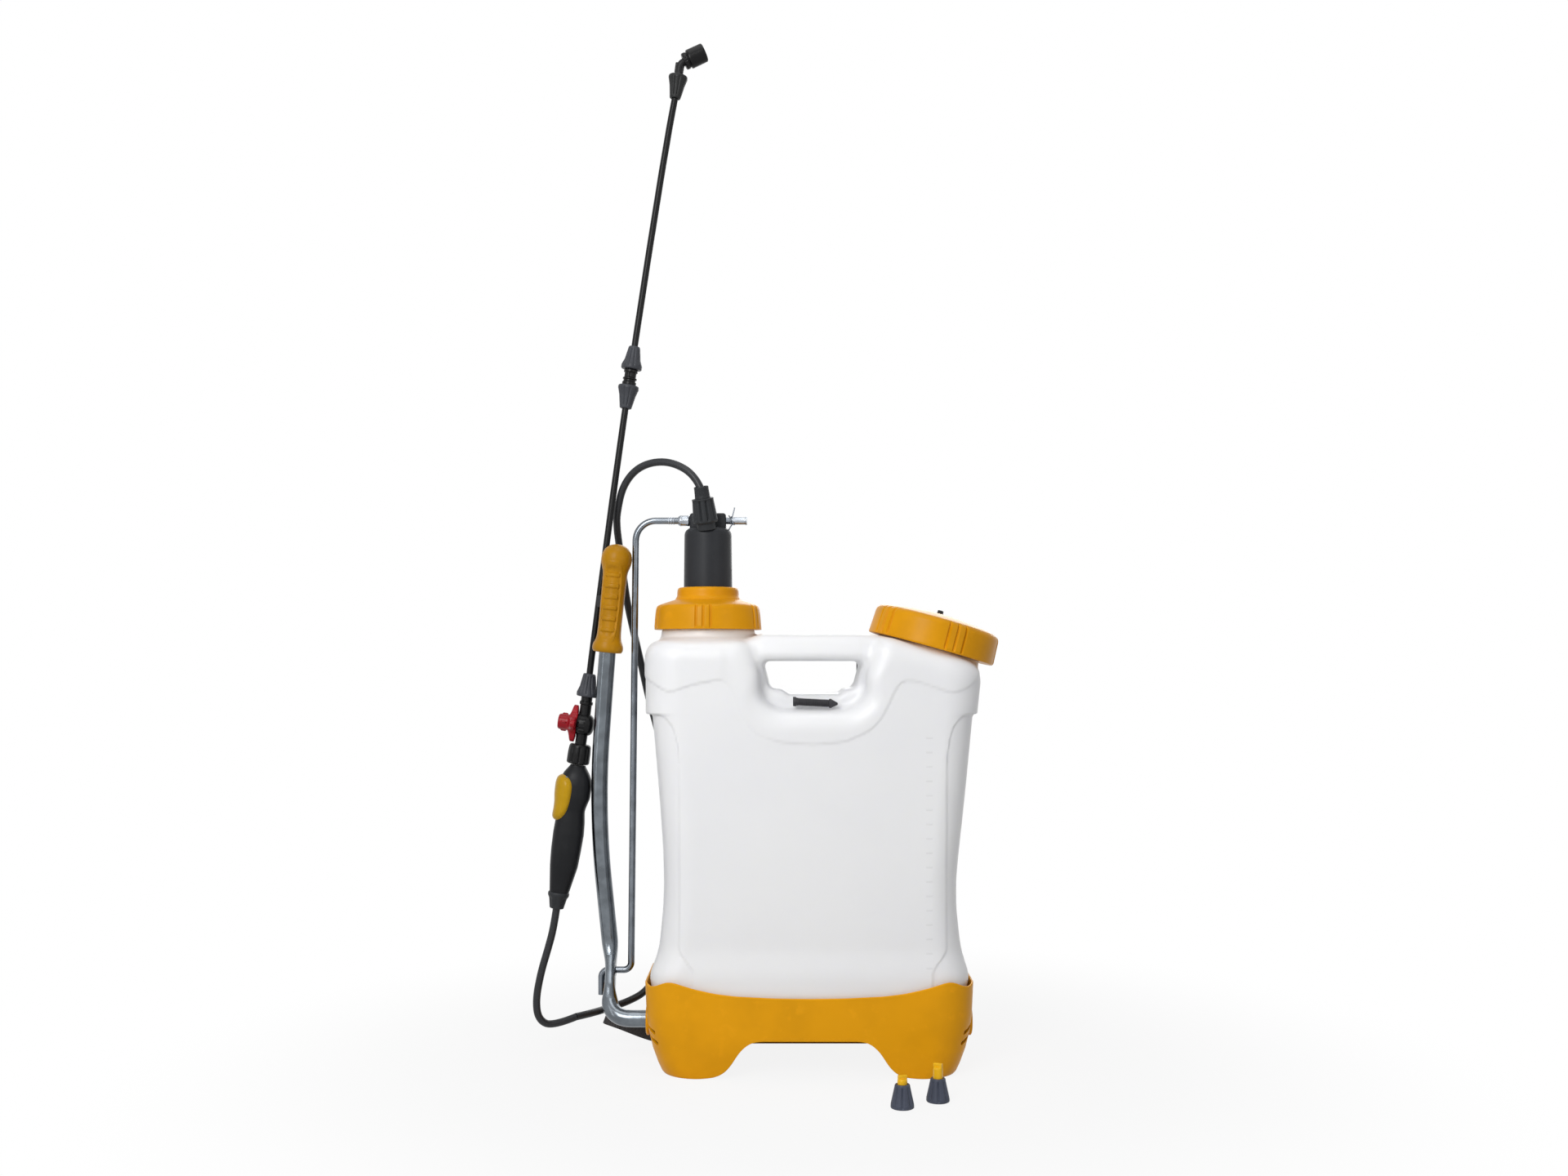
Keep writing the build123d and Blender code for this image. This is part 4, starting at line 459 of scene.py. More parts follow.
def tank_wall(p):
    """Distance from a point to the tank's skin, below zero inside: a waisted rounded box joined to the band
    above the embossed line, cut by the roof, the hollow back, the dish, the slot and the bores."""
    x, y, z = p[..., 0], p[..., 1], p[..., 2]
    left = np.interp(z, left_z, left_half)
    right = np.interp(z, right_z, right_half)
    depth = TANK_DEPTH + 0.004 * ease((0.152 - z) / 0.04)
    body = squared(x - (right - left) / 2, y, (right + left) / 2, depth, TANK_CORNER)
    wide = np.interp(z, BAND_Z, BAND_RIGHT)
    band = squared(x - (wide - BAND_LEFT) / 2, y, (wide + BAND_LEFT) / 2, TANK_DEPTH - 0.0016, TANK_CORNER)
    body = join(body, keep(band, STEP_Z - z, 0.0028), 0.0022)
    under = (np.interp(x, line_x, line_z) - z) * np.interp(x, line_x, line_lean)
    proud = LINE_PROUD * (1 - 0.85 * ease((x + 0.104) / 0.012) * ease((-0.030 - x) / 0.030))
    body = join(body, keep(body - proud, np.maximum(under, y + 0.02), 0.0024), 0.0018)
    near = np.where(x < 0, PANEL[0] - x, x - PANEL[1])
    arch = STEP_Z - z - PANEL_TOP[1] * (1 - np.sqrt(1 - np.clip(1 - near / PANEL_TOP[0], 0, 1) ** 2))
    flare = 0.016 * ease((0.150 - z) / 0.030)
    panel = keep(keep(-(near + flare), -arch * 0.8, 0.010), np.abs(y) - 0.2, 0.001)
    body = keep(body, -keep(-(body + PANEL_SINK), panel, 0.0022), 0.0022)
    slope = math.tan(math.radians(FILLER_TILT))
    roof = SHOULDER_Z + (HANDLE_Z - SHOULDER_Z) * ease((x + 0.078) / 0.026)
    roof = join(roof, FILLER_FOOT[2] - (x - FILLER_FOOT[0]) * slope, 0.006)
    body = keep(body, (z - roof) * np.where(x > 0.06, 0.971, 1.0), 0.026)
    body = keep(body, HOLLOW[1] - np.hypot(x, y - HOLLOW[0]), 0.013)
    dish_x = np.abs(x - SLOT_X) - (DISH[0] - DISH[2])
    dish_z = DISH[1] + DISH[2] - z
    dish = np.hypot(np.maximum(dish_x, 0), np.maximum(dish_z, 0)) + np.minimum(np.maximum(dish_x, dish_z), 0)
    fade = ease((z - 0.446) / 0.044)
    dish = keep(dish - DISH[2], y - DISH_BACK + 0.024 * fade, 0.008)
    body = -join(-body, dish, 0.013 + 0.014 * ease((0.468 - z) / 0.040) + 0.020 * fade)
    half = 0.0505 + (z - 0.448) * 0.26
    floor_z = 0.447 - 0.006 * ease((0.040 - np.abs(x - 0.006)) / 0.013)
    slot_x = np.abs(x - SLOT_X) - (half - 0.008)
    slot_z = np.maximum(z - 0.4715, floor_z + 0.008 - z)
    slot = np.hypot(np.maximum(slot_x, 0), np.maximum(slot_z, 0)) + np.minimum(np.maximum(slot_x, slot_z), 0)
    body = -join(-body, slot - 0.008, 0.010)
    body = keep(body, 0.083 - z, 0.012)
    pump = np.hypot(x - PUMP_AXIS[0], y - PUMP_AXIS[1])
    body = join(body, np.maximum(keep(pump - NECK, z - 0.531, 0.002), 0.480 - z), 0.013)
    body = join(body, np.maximum(keep(pump - NECK - 0.002, z - 0.5165, 0.002), 0.480 - z), 0.004)
    lean = math.radians(FILLER_TILT)
    out = (x - FILLER_FOOT[0]) * math.cos(lean) - (z - FILLER_FOOT[2]) * math.sin(lean)
    up = (x - FILLER_FOOT[0]) * math.sin(lean) + (z - FILLER_FOOT[2]) * math.cos(lean)
    filler = np.hypot(out, y)
    body = join(body, np.maximum(keep(filler - FILLER_NECK, up - 0.021, 0.002), -0.020 - up), 0.012)
    body = np.maximum(body, -np.maximum(pump - NECK + 0.0016, 0.440 - z))
    return np.maximum(body, -np.maximum(filler - FILLER_NECK + 0.0022, -0.042 - up))


def steepness(p, reach=0.0004):
    """Gradient of the tank's distance by central differences."""
    steps = np.eye(3) * reach
    return np.stack([(tank_wall(p + s) - tank_wall(p - s)) / (2 * reach) for s in steps], -1)


def drawn(low, high, cell):
    """Surface nets: one corner in each grid cell that the skin crosses, at the mean of its crossings, and
    one quad round each crossed grid edge; then every corner is slid and pulled onto the skin."""
    axes = [np.arange(a, b, cell) for a, b in zip(low, high)]
    grid = np.stack(np.meshgrid(*axes, indexing="ij"), -1)
    value = tank_wall(grid)
    ends = [value[i:value.shape[0] - 1 + i, j:value.shape[1] - 1 + j, k:value.shape[2] - 1 + k]
            for i in (0, 1) for j in (0, 1) for k in (0, 1)]
    inside = sum((e < 0).astype(int) for e in ends)
    cells = np.argwhere((inside > 0) & (inside < 8))
    number = np.full(inside.shape, -1)
    number[tuple(cells.T)] = np.arange(len(cells))
    total = np.zeros((len(cells), 3))
    crossed = np.zeros(len(cells))
    corners = np.array([(i, j, k) for i in (0, 1) for j in (0, 1) for k in (0, 1)])
    for a in range(8):
        for b in range(a + 1, 8):
            if np.abs(corners[a] - corners[b]).sum() == 1:
                va = ends[a][tuple(cells.T)]
                vb = ends[b][tuple(cells.T)]
                cut = (va < 0) != (vb < 0)
                t = np.where(cut, va / np.where(cut, va - vb, 1), 0)[:, None]
                total += cut[:, None] * (corners[a] + t * (corners[b] - corners[a]))
                crossed += cut
    points = np.array(low) + (cells + total / crossed[:, None]) * cell
    quads = []
    for axis in range(3):
        first = np.take(value, range(value.shape[axis] - 1), axis) < 0
        second = np.take(value, range(1, value.shape[axis]), axis) < 0
        for rising in (True, False):
            edge = np.argwhere((first & ~second) if rising else (~first & second))
            u, v = [a for a in range(3) if a != axis]
            shift = np.zeros((4, 3), int)
            shift[:, u] = (-1, 0, 0, -1)
            shift[:, v] = (-1, -1, 0, 0)
            round_about = [tuple((edge + s).T) for s in (shift if rising == (axis != 1) else shift[::-1])]
            quads.append(np.stack([number[r] for r in round_about], -1))
    quads = np.concatenate(quads)
    links = np.concatenate([quads[:, [0, 1]], quads[:, [1, 2]], quads[:, [2, 3]], quads[:, [3, 0]]])
    count = np.bincount(links.ravel(), minlength=len(points))[:, None]
    for lap in range(3):
        near = np.stack([np.bincount(links[:, 0], points[links[:, 1], a], len(points))
                         + np.bincount(links[:, 1], points[links[:, 0], a], len(points)) for a in range(3)],
                        -1)
        points = points + 0.5 * (near / count - points)
        for pull in range(2):
            slope = steepness(points)
            points = points - tank_wall(points)[:, None] * slope / np.maximum((slope ** 2).sum(-1), 0.2)[:,
                                                                                                         None]
    return points, quads


points, quads = drawn((-0.214, -0.094, 0.076), (0.222, 0.094, 0.545), CELL)
tank = moulding("tank_shell", [(points, quads, np.zeros((4 * len(quads), 2)))], crisp=180, closed=False)
facing = steepness(np.array([v.co for v in tank.data.vertices]))
facing /= np.linalg.norm(facing, axis=1)[:, None]
tank.data.normals_split_custom_set_from_vertices(facing.tolist())

TANK_MILK = (0.915, 0.92, 0.93)
LEVEL_X = 0.1375
LEVEL_Z = (0.123, 0.404)
LEVEL_STEP = 0.0165


def milky_tank():
    """Polyethylene: milky white with cloudy thicker patches, light bleeding through it, a fine peel in the
    gloss, the mould's joint as a hairline ridge, short moulded level marks by the right front corner, and
    painted shade darkening it towards its foot."""
    material, start = finish("milky_tank")
    place = start.node("TexCoord", {}, {}, 3)
    x, y, z = place.split()
    cloud = place.noise(5.5, 3.0, 0.45)
    peel = place.noise(420.0, 2.0)
    scuff = place.noise(70.0, 8.0, 0.7)
    worn = scuff.rise(0.60, 0.74)
    tick = (((z - LEVEL_Z[0]) * (2 * math.pi / LEVEL_STEP)).wave()).rise(0.90, 0.97)
    mark = tick * (x - LEVEL_X).size().rise(0.0040, 0.0032) * y.rise(-0.0700, -0.0740)
    mark = mark * z.rise(LEVEL_Z[0] - 0.004, LEVEL_Z[0]) * z.rise(LEVEL_Z[1], LEVEL_Z[1] - 0.004)
    seam = y.size().rise(0.0011, 0.0004)
    # Painted shade: from 200 mm down into the base's skirt the colour darkens towards the grey below. The
    # seam and level marks take the same grey as dark lines.
    foot = z.rise(0.20, 0.085)
    thin = tuple(c * 0.985 for c in TANK_MILK) + (1,)
    thick = tuple(c * 0.955 for c in TANK_MILK[:2]) + (TANK_MILK[2] * 0.965, 1)
    tone = cloud.rise(0.35, 0.7).between(thin, thick)
    shade = (0.70, 0.70, 0.71, 1)
    tone = (mark * 0.32 + seam * 0.22 + foot * 0.10).between(tone, shade)
    height = peel * 0.10 + mark * 0.9 + seam * 1.3 + cloud * 0.9
    bump = height.bump(0.35, 0.0006)
    dull = 0.36 + (cloud - 0.5) * 0.08 + worn * 0.10
    return start.surface(material, {"Base Color": tone, "Roughness": dull, "Normal": bump,
                                    "Subsurface Weight": 0.30, "Subsurface Radius": (0.9, 0.9, 1.0),
                                    "Subsurface Scale": 0.012, "IOR": 1.5})


tank_milk = milky_tank()
fit(tank, tank_milk, "root", "tank_plastic", "tank")


def leaning(foot, tilt, nod=0):
    """A place at a point whose upright axis leans towards +X by tilt degrees, then towards -Y by nod."""
    a, b = math.radians(tilt), math.radians(nod)
    turn = np.array([[math.cos(a), 0, math.sin(a)], [0, 1, 0], [-math.sin(a), 0, math.cos(a)]])
    turn = np.array([[1, 0, 0], [0, math.cos(b), -math.sin(b)], [0, math.sin(b), math.cos(b)]]) @ turn
    return lambda p: p @ turn.T + np.array(foot)


def eased(corners, cut, steps=5):
    """An outline through corners, each rounded by a curve that starts cut before it and ends cut after it,
    at most half of either run; a cut of 0 leaves it sharp."""
    c = np.array(corners, float)
    cut = np.broadcast_to(np.asarray(cut, float), len(c) - 2)
    before, here, after = c[:-2], c[1:-1], c[2:]
    a = here - before
    b = after - here
    la = np.linalg.norm(a, axis=1)
    lb = np.linalg.norm(b, axis=1)
    back = (np.minimum(cut, 0.49 * la) / la)[:, None]
    on = (np.minimum(cut, 0.49 * lb) / lb)[:, None]
    t = np.linspace(0, 1, steps)[None, :, None]
    enter = (here - a * back)[:, None]
    leave = (here + b * on)[:, None]
    arc = (1 - t) ** 2 * enter + 2 * t * (1 - t) * here[:, None] + t ** 2 * leave
    return np.concatenate([c[:1], arc.reshape(-1, c.shape[1]), c[-1:]])


def denser(line, gap):
    """The same line with points no further apart than gap."""
    runs = np.linalg.norm(np.diff(line, axis=0), axis=1)
    s = np.concatenate([[0], np.cumsum(runs)])
    more = np.unique(np.concatenate([s, np.linspace(0, s[-1], int(s[-1] / gap) + 2)]))
    more = more[np.concatenate([[True], np.diff(more) > 1e-7])]
    return np.stack([np.interp(more, s, line[:, a]) for a in range(line.shape[1])], -1)


def turned(outline, at, turns=96, swell=None):
    """A turned surface: (radius, height) points carried round the upright axis of a place, with swell(angle,
    radius, height) added to the radius."""
    angle = once_round(turns)[None, :]
    radius = outline[:, :1] + 0 * angle
    height = outline[:, 1:] + 0 * angle
    if swell is not None:
        radius = np.where(radius > 1e-6, radius + swell(angle + 0 * radius, radius, height), radius)
    return net(at(np.stack([radius * np.cos(angle), radius * np.sin(angle), height], -1)))


at_pump = leaning((PUMP_AXIS[0], PUMP_AXIS[1], 0), 0)
at_filler = leaning(FILLER_FOOT, FILLER_TILT)


def thread(top, depth, pitch):
    """A screw thread below a height: the swell rises by depth along a helix of that pitch."""
    return lambda angle, r, z: depth * np.maximum(0,
                                                  np.cos((z / pitch - angle / (2 * math.pi)) * 2 * math.pi)) \
        ** 3 * (z < top - 0.003) * (z > top - 0.017) * (r > 0.0535 - depth)


neck = eased([(0.0532, 0.500), (0.0532, 0.536), (0.0500, 0.536), (0.0500, 0.466)], 0.0012)
rim = eased([(0.0592, -0.004), (0.0592, 0.026), (0.0545, 0.026), (0.0545, -0.045)], 0.0012)
pump_neck = moulding("pump_neck", [turned(denser(neck, 0.0012), at_pump, 128, thread(0.536, 0.0014, 0.006))],
                     closed=False)
filler_neck = moulding("filler_neck", [turned(denser(rim, 0.0012), at_filler, 128, thread(0.026, 0.0016,
                                                                                          0.006))],
                       closed=False)
fit(pump_neck, tank_milk, "root", "tank_plastic")
fit(filler_neck, tank_milk, "root", "tank_plastic")


# Axle bushes: flanged plastic sleeves pressed into the base's sides, nearly flush with them, that the
# lever's axle turns in.
AXLE = (-0.024, 0.056)
BUSH_FACE = 0.1915


def sideways(x, y, z, side):
    """A place at a point whose upright axis points along X, towards that side."""
    turn = np.array([[0, 0, side], [0, 1, 0], [-side, 0, 0]])
    return lambda p: p @ turn.T + np.array((x, y, z))


bush = [(0.0103, -0.018), (0.0103, 0.0006), (0.0172, 0.0006), (0.0190, -0.0006), (0.0190, -0.0030),
        (0.0143, -0.0030), (0.0143, -0.018), (0.0103, -0.018)]
bushes = moulding("axle_bush_pair", [turned(eased(bush, 0.0006), sideways(side * BUSH_FACE, *AXLE, side), 64)
                                     for side in (-1, 1)])
fit(bushes, yellow_base, "root", "bearing_plastic", "axle_bushes")


# Pump: the slate bell slides over a fixed barrel in the tank. A yellow ring nut clamps the pump on the neck,
# with grip ribs in threes round its skirt, and a plain yellow collar guides the bell above it.
CAP_YELLOW = (0.72, 0.312, 0.004)
SLATE = (0.0225, 0.0240, 0.0275)
CAP_FOOT = 0.517
CAP_TOP = 0.5485
RIB_GROUPS = 5
RIB_STEP = math.radians(7.8)
RIB_HALF = math.radians(1.0)


def ribs(start, low, high, outer, out):
    """Grip ribs in groups: the swell sinks by out in three narrow grooves and rises by half of it in the two
    bars between them, between two heights."""
    def swell(angle, r, z):
        middle = math.radians(start)
        group = (angle - middle + math.pi / RIB_GROUPS) % (2 * math.pi / RIB_GROUPS) - math.pi / RIB_GROUPS
        near = np.minimum(np.minimum(np.abs(group), np.abs(group - RIB_STEP)), np.abs(group + RIB_STEP))
        groove = ease((RIB_HALF - near) / math.radians(0.9) + 0.5)
        bar = ease((RIB_STEP - np.abs(group)) / math.radians(1.6)) * 0.5
        fade = ease((z - low) / 0.002) * ease((high - z) / 0.004) * ease((r - outer) / 0.001 + 1)
        return (bar - groove * 1.5) * fade * out
    return swell


cap = eased([(0.0520, CAP_FOOT + 0.001), (0.0600, CAP_FOOT), (0.0641, CAP_FOOT), (0.0628, 0.5350),
             (0.0613, 0.5450),
             (0.0560, CAP_TOP - 0.0010), (0.0400, CAP_TOP + 0.0042), (0.0368, CAP_TOP + 0.0050),
             (0.0300, CAP_TOP + 0.0050), (0.0300, 0.542), (0.0520, 0.542), (0.0536, 0.538),
             (0.0536, CAP_FOOT + 0.001)],
            (0.0006, 0.0008, 0.006, 0.006, 0.0050, 0.006, 0.0012, 0.0004, 0.001, 0.001, 0.001), 7)
cap_yellow = moulded("cap_yellow", CAP_YELLOW, 0.34, 0.05, scale=22.0, gloss=0.12)
pump_cap = moulding("pump_ring_nut", [turned(denser(cap, 0.0016), at_pump, 540,
                                             ribs(-92.5, CAP_FOOT + 0.001, 0.5475, 0.0585, 0.0011))])
fit(pump_cap, cap_yellow, "root", "yellow_plastic", "pump_cap")
collar = eased([(0.0290, CAP_TOP - 0.001), (0.0400, CAP_TOP - 0.001), (0.0394, 0.5530), (0.0370, 0.5570),
                (0.0366, 0.5675), (0.0286, 0.5675), (0.0286, 0.5480)],
               (0.0006, 0.0012, 0.002, 0.0065, 0.0008), 9)
pump_collar = moulding("pump_guide_collar", [turned(collar, at_pump, 128)])
fit(pump_collar, cap_yellow, "root", "yellow_plastic", "pump_collar")

HEAD = (0.0435, -0.0095, 0.0130, 0.6385, 0.6565)
bell = eased([(0.0262, 0.492), (0.0290, 0.492), (0.0290, 0.566), (0.0282, 0.6345), (0.0225, 0.6388),
              (0.0205, 0.6395),
              (0, 0.6395)], (0.0005, 0.01, 0.0050, 0.0030, 0.001), 9)
bell_inside = eased([(0.0262, 0.492), (0.0260, 0.566), (0.0250, 0.633), (0, 0.633)], (0.01, 0.007), 7)
slate_bell = moulded("slate_bell", SLATE, 0.42, 0.10, grain=0.6, scale=18.0, streak=1.2, gloss=0.17)


def box_round(middle, half, corner, rows=15, turns=48):
    """A block with rounded edges: the points of a sphere of radius corner, each moved out to its octant's
    corner of the inner block."""
    a = once_round(turns) + math.pi / turns
    b = np.linspace(-math.pi / 2, math.pi / 2, rows)
    b = np.sort(np.concatenate([b, [-1e-4, 1e-4]]))
    a, b = np.meshgrid(a, b)
    out = np.stack([np.cos(b) * np.cos(a), np.cos(b) * np.sin(a), np.sin(b)], -1)
    core = np.array(half) - corner
    side = np.where(out >= 0, 1, -1)
    points = np.array(middle) + side * core + corner * out
    top = np.array(middle) + np.array([0, 0, half[2]])
    foot = np.array(middle) - np.array([0, 0, half[2]])
    points = np.concatenate([np.broadcast_to(foot, points[:1].shape), points,
                             np.broadcast_to(top, points[:1].shape)])
    return net(points)


head_block = box_round((PUMP_AXIS[0], (HEAD[1] + HEAD[2]) / 2, (HEAD[3] + HEAD[4]) / 2 - 0.001),
                       (HEAD[0] / 2, (HEAD[2] - HEAD[1]) / 2, (HEAD[4] - HEAD[3]) / 2 + 0.001), 0.0035)
chamber = moulding("pump_bell", [turned(denser(bell, 0.004), at_pump, 128), turned(bell_inside[::-1],
                                                                                   at_pump, 128),
                                 head_block])
fit(chamber, slate_bell, "chamber", "slate_plastic", "pump_chamber")


# Hose outlet: a fluted slate nut leaning on the bell's roof, and the rubber sleeve that keeps the hose from
# kinking where it leaves.
OUTLET = (-0.1209, -0.0208, 0.6345)
OUTLET_TILT = -7.0
OUTLET_NOD = 11.0
at_outlet = leaning(OUTLET, OUTLET_TILT, OUTLET_NOD)


def flutes(count, low, high, depth, power=5, phase=0.0):
    """Upright grooves round a nut: the swell sinks by depth at count places, between two heights."""
    def swell(angle, r, z):
        groove = (0.5 + 0.5 * np.cos(count * angle + phase)) ** power
        return -depth * groove * ease((z - low) / 0.002) * ease((high - z) / 0.002) * (r > 0.0055)
    return swell


nut = eased([(0.0050, 0.0010), (0.0112, 0.0010), (0.0112, 0.0090), (0.0136, 0.0090), (0.0149, 0.0112),
             (0.0128, 0.0362),
             (0.0132, 0.0370), (0.0129, 0.0382), (0.0050, 0.0382)],
            (0.0006, 0.0004, 0.0006, 0.0012, 0.0005, 0.0005, 0.0006))
slate_nut = moulded("slate_nut", (0.022, 0.024, 0.027), 0.44, 0.10, grain=0.8, scale=40.0)
hose_nut = moulding("hose_outlet_nut", [turned(denser(nut, 0.0012), at_outlet, 144,
                                               flutes(10, 0.0110, 0.0366, 0.0021, 5))])
fit(hose_nut, slate_nut, "chamber", "slate_plastic", "hose_nut")
sleeve = eased([(0.0042, 0.0380), (0.0094, 0.0380), (0.0090, 0.0410), (0.0086, 0.0490), (0.0088, 0.0518),
                (0.0080, 0.0526),
                (0.0068, 0.0522), (0.0060, 0.0460), (0, 0.0440)],
               (0.0004, 0.001, 0.002, 0.0006, 0.0006, 0.0006, 0.001))
hose_sleeve = moulding("hose_kink_sleeve", [turned(denser(sleeve, 0.001), at_outlet, 96, flutes(
    24, 0.0400, 0.0495, 0.0004, 2))], closed=False)
fit(hose_sleeve, slate_nut, "chamber", "hose_rubber", "hose_sleeve")


# Filler lid: a yellow screw lid with a low dome and grip ribs in threes, and its black breather knob.
lid = eased([(0.0600, 0.0022), (0.0760, 0.0020), (0.0768, 0.0034), (0.0762, 0.0120), (0.0752, 0.0330),
             (0.0706, 0.0372),
             (0.0560, 0.0405), (0.0300, 0.0440), (0, 0.0452)],
            (0.0006, 0.0008, 0.004, 0.0042, 0.003, 0.008, 0.012), 7)
lid_under = eased([(0.0600, 0.0022), (0.0600, 0.0278), (0, 0.0278)], 0.0008)
filler_lid = moulding("filler_screw_lid", [
    turned(denser(lid, 0.0018), at_filler, 540, ribs(-75.0, 0.0030, 0.0375, 0.0706, 0.0014)),
    turned(lid_under[::-1], at_filler, 540)])
fit(filler_lid, cap_yellow, "lid", "yellow_plastic", "filler_lid")
knob = eased([(0, 0.0420), (0.0042, 0.0420), (0.0042, 0.0460), (0.0035, 0.0467), (0.0036, 0.0490),
              (0.0020, 0.0495),
              (0, 0.0495)], 0.0006)
black_trim = moulded("black_trim", (0.011, 0.011, 0.012), 0.38, 0.12, grain=0.5, scale=60.0)
lid_vent = moulding("lid_breather", [turned(denser(knob, 0.0008), at_filler, 48)])
fit(lid_vent, black_trim, "lid", "black_plastic", "lid_vent")


# Pump lever: one zinc-plated steel tube, bent out of the base and up, pressed flat round the eye for the
# link rod's hook. The link rod is bent zinc-plated wire with a pressed collar and a sprung wire clip.
ZINC = (0.17, 0.19, 0.21)


def zinc_plate(name, colour, rough):
    """Zinc plating: metal, mottled by a fine spangle, with drawn lines up it and a few dull, dark specks."""
    material, start = finish(name)
    place = start.node("TexCoord", {}, {}, 3)
    spangle = start.node("TexVoronoi", {}, {"Vector": place, "Scale": 420.0})
    cloud = place.noise(60.0, 5.0)
    along = start.node("Mapping", {}, {0: place, 3: (600, 600, 14)})
    drawn_lines = along.noise(1.0, 3.0)
    pits = place.noise(260.0, 4.0)
    dark = tuple(c * 0.80 for c in colour) + (1,)
    light = tuple(min(1, c * 1.12) for c in colour) + (1,)
    tone = cloud.rise(0.35, 0.68).between(dark, light)
    specks = pits.rise(0.70, 0.76)
    tone = (specks * 0.7).between(tone, (0.20, 0.19, 0.18, 1))
    height = spangle * 0.2 + drawn_lines * 0.7 - specks * 0.6
    bump = height.bump(0.045, 0.0003)
    dull = rough + (cloud - 0.5) * 0.10 + specks * 0.15
    return start.surface(material, {"Base Color": tone, "Metallic": 1.0, "Roughness": dull, "Normal": bump})


def refinish(material, slot, *nodes):
    """Gives CAD nodes that show as they are a finish in their own material slots."""
    for node in nodes:
        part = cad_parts[node]
        part.data.materials.clear()
        part.data.materials.append(material)


zinc = zinc_plate("zinc_plate", ZINC, 0.20)
zinc_wire = zinc_plate("zinc_wire", (0.19, 0.21, 0.235), 0.20)
refinish(zinc, "zinc_steel", "axle_retainer")

LEVER_LINE = [(0.1887, -0.024, 0.056), (-0.2365, -0.024, 0.056), (-0.2408, 0.0361, 0.1216),
              (-0.2560, 0.0130, 0.3000), (-0.2415, 0, 0.4900), (-0.2364, 0, 0.5400)]
LEVER_BENDS = (0.028, 0.022, 0.11, 0.06)
LEVER_RADIUS = 0.0100
LEVER_THINNER = 0.0036
LEVER_DEEPER = 0.0032
lever_line = denser(eased(LEVER_LINE, LEVER_BENDS, 24), 0.0025)
step = np.gradient(lever_line, axis=0)
step /= np.linalg.norm(step, axis=1)[:, None]
wide = np.cross((1.0, 0, 0), step) + np.array((0, -0.0007, 0.0007))
wide /= np.linalg.norm(wide, axis=1)[:, None]
thin = np.cross(step, wide)
pressed = (ease((lever_line[:, 2] - 0.070) / 0.018) * ease((0.140 - lever_line[:, 2]) / 0.036))[:, None]
angle = once_round(72)[None, :]
power = 2 + 1.2 * pressed
oval = (np.abs(np.cos(angle)) ** power + np.abs(np.sin(angle)) ** power) ** (-1 / power)
side_reach = ((LEVER_RADIUS - LEVER_THINNER * pressed) * np.cos(angle) * oval)[:, :, None]
deep_reach = ((LEVER_RADIUS + LEVER_DEEPER * pressed) * np.sin(angle) * oval)[:, :, None]
rings = lever_line[:, None] + side_reach * thin[:, None] + deep_reach * wide[:, None]
caps = [np.broadcast_to(end, rings[:1].shape) for end in (lever_line[0], lever_line[-1])]
lever = moulding("lever_bent_tube", [net(np.concatenate([caps[0], rings, caps[1]]))])
EYE = (-0.2385, 0.0199, 0.1039)
EYE_RADIUS = 0.0064
around = once_round(48)
loop = EYE_RADIUS * np.stack([0 * around, np.cos(around), np.sin(around)], -1)
bore = [np.array(EYE) + share * loop + (x, 0, 0) for share, x in ((0, -0.03), (1, -0.03), (1, 0.03), (0,
                                                                                                      0.03))]
pierce(lever, [net(np.stack(bore))])
fit(lever, zinc, "lever", "zinc_steel", "lever_tube")
refinish(zinc_wire, "zinc_steel", "link_rod", "trigger_pin", "trigger_spring")

PIN_Z = 0.6477
COLLAR_X = -0.1425
rod_collar = eased([(0.0040, -0.0140), (0.0048, -0.0140), (0.0066, -0.0112), (0.0066, -0.0012), (0.0058, 0),
                    (0.0040, 0)], 0.0008)
at_collar = sideways(COLLAR_X, 0, PIN_Z, 1)
zinc_bright = zinc_plate("zinc_bright", (0.40, 0.43, 0.47), 0.24)
ring_lines = [eased([(0.0040, -s - 0.0012), (0.0046, -s - 0.0008), (0.0046, -s), (0.0040, -s + 0.0004)],
                    0.0003)
              for s in (0.0185, 0.0215, 0.0245)]
pin_end = eased([(0.0030, -0.0925), (0.0044, -0.0925), (0.0046, -0.0915), (0.0046, -0.0760),
                 (0.0051, -0.0757),
                 (0.0051, -0.0740), (0.0046, -0.0735), (0, -0.0735)], 0.0004)
stop = moulding("rod_stop", [turned(denser(rod_collar, 0.0008), at_collar, 72, flutes(6, -0.0108, -0.0012,
                                                                                      0.0004, 1))]
                + [turned(line, at_collar, 48) for line in ring_lines]
                + [turned(denser(pin_end, 0.002), sideways(0, 0, PIN_Z, 1), 48)], closed=False)
fit(stop, zinc_bright, "link_rod", "zinc_steel", "rod_collar")


def piped(line, radius, turns=16, ends=True):
    """A round tube along a line: each ring's frame is the last one's, tilted with the line, and the end
    rings close to their centres."""
    step = np.gradient(line, axis=0)
    step /= np.linalg.norm(step, axis=1)[:, None]
    sides = np.zeros_like(line)
    side = np.cross(step[0], (0.31, 0.17, 0.93))
    for i, direction in enumerate(step):
        side = side - direction * side.dot(direction)
        side /= np.linalg.norm(side)
        sides[i] = side
    other = np.cross(step, sides)
    angle = once_round(turns)
    wide = np.broadcast_to(np.asarray(radius, float), (len(line),))[:, None, None]
    rings = line[:, None] + wide * (np.cos(angle)[None, :, None] * sides[:, None]
                                    + np.sin(angle)[None, :, None] * other[:, None])
    if ends:
        first = np.broadcast_to(line[:1, None], (1, turns, 3))
        last = np.broadcast_to(line[-1:, None], (1, turns, 3))
        rings = np.concatenate([first, rings, last])
    return net(rings)


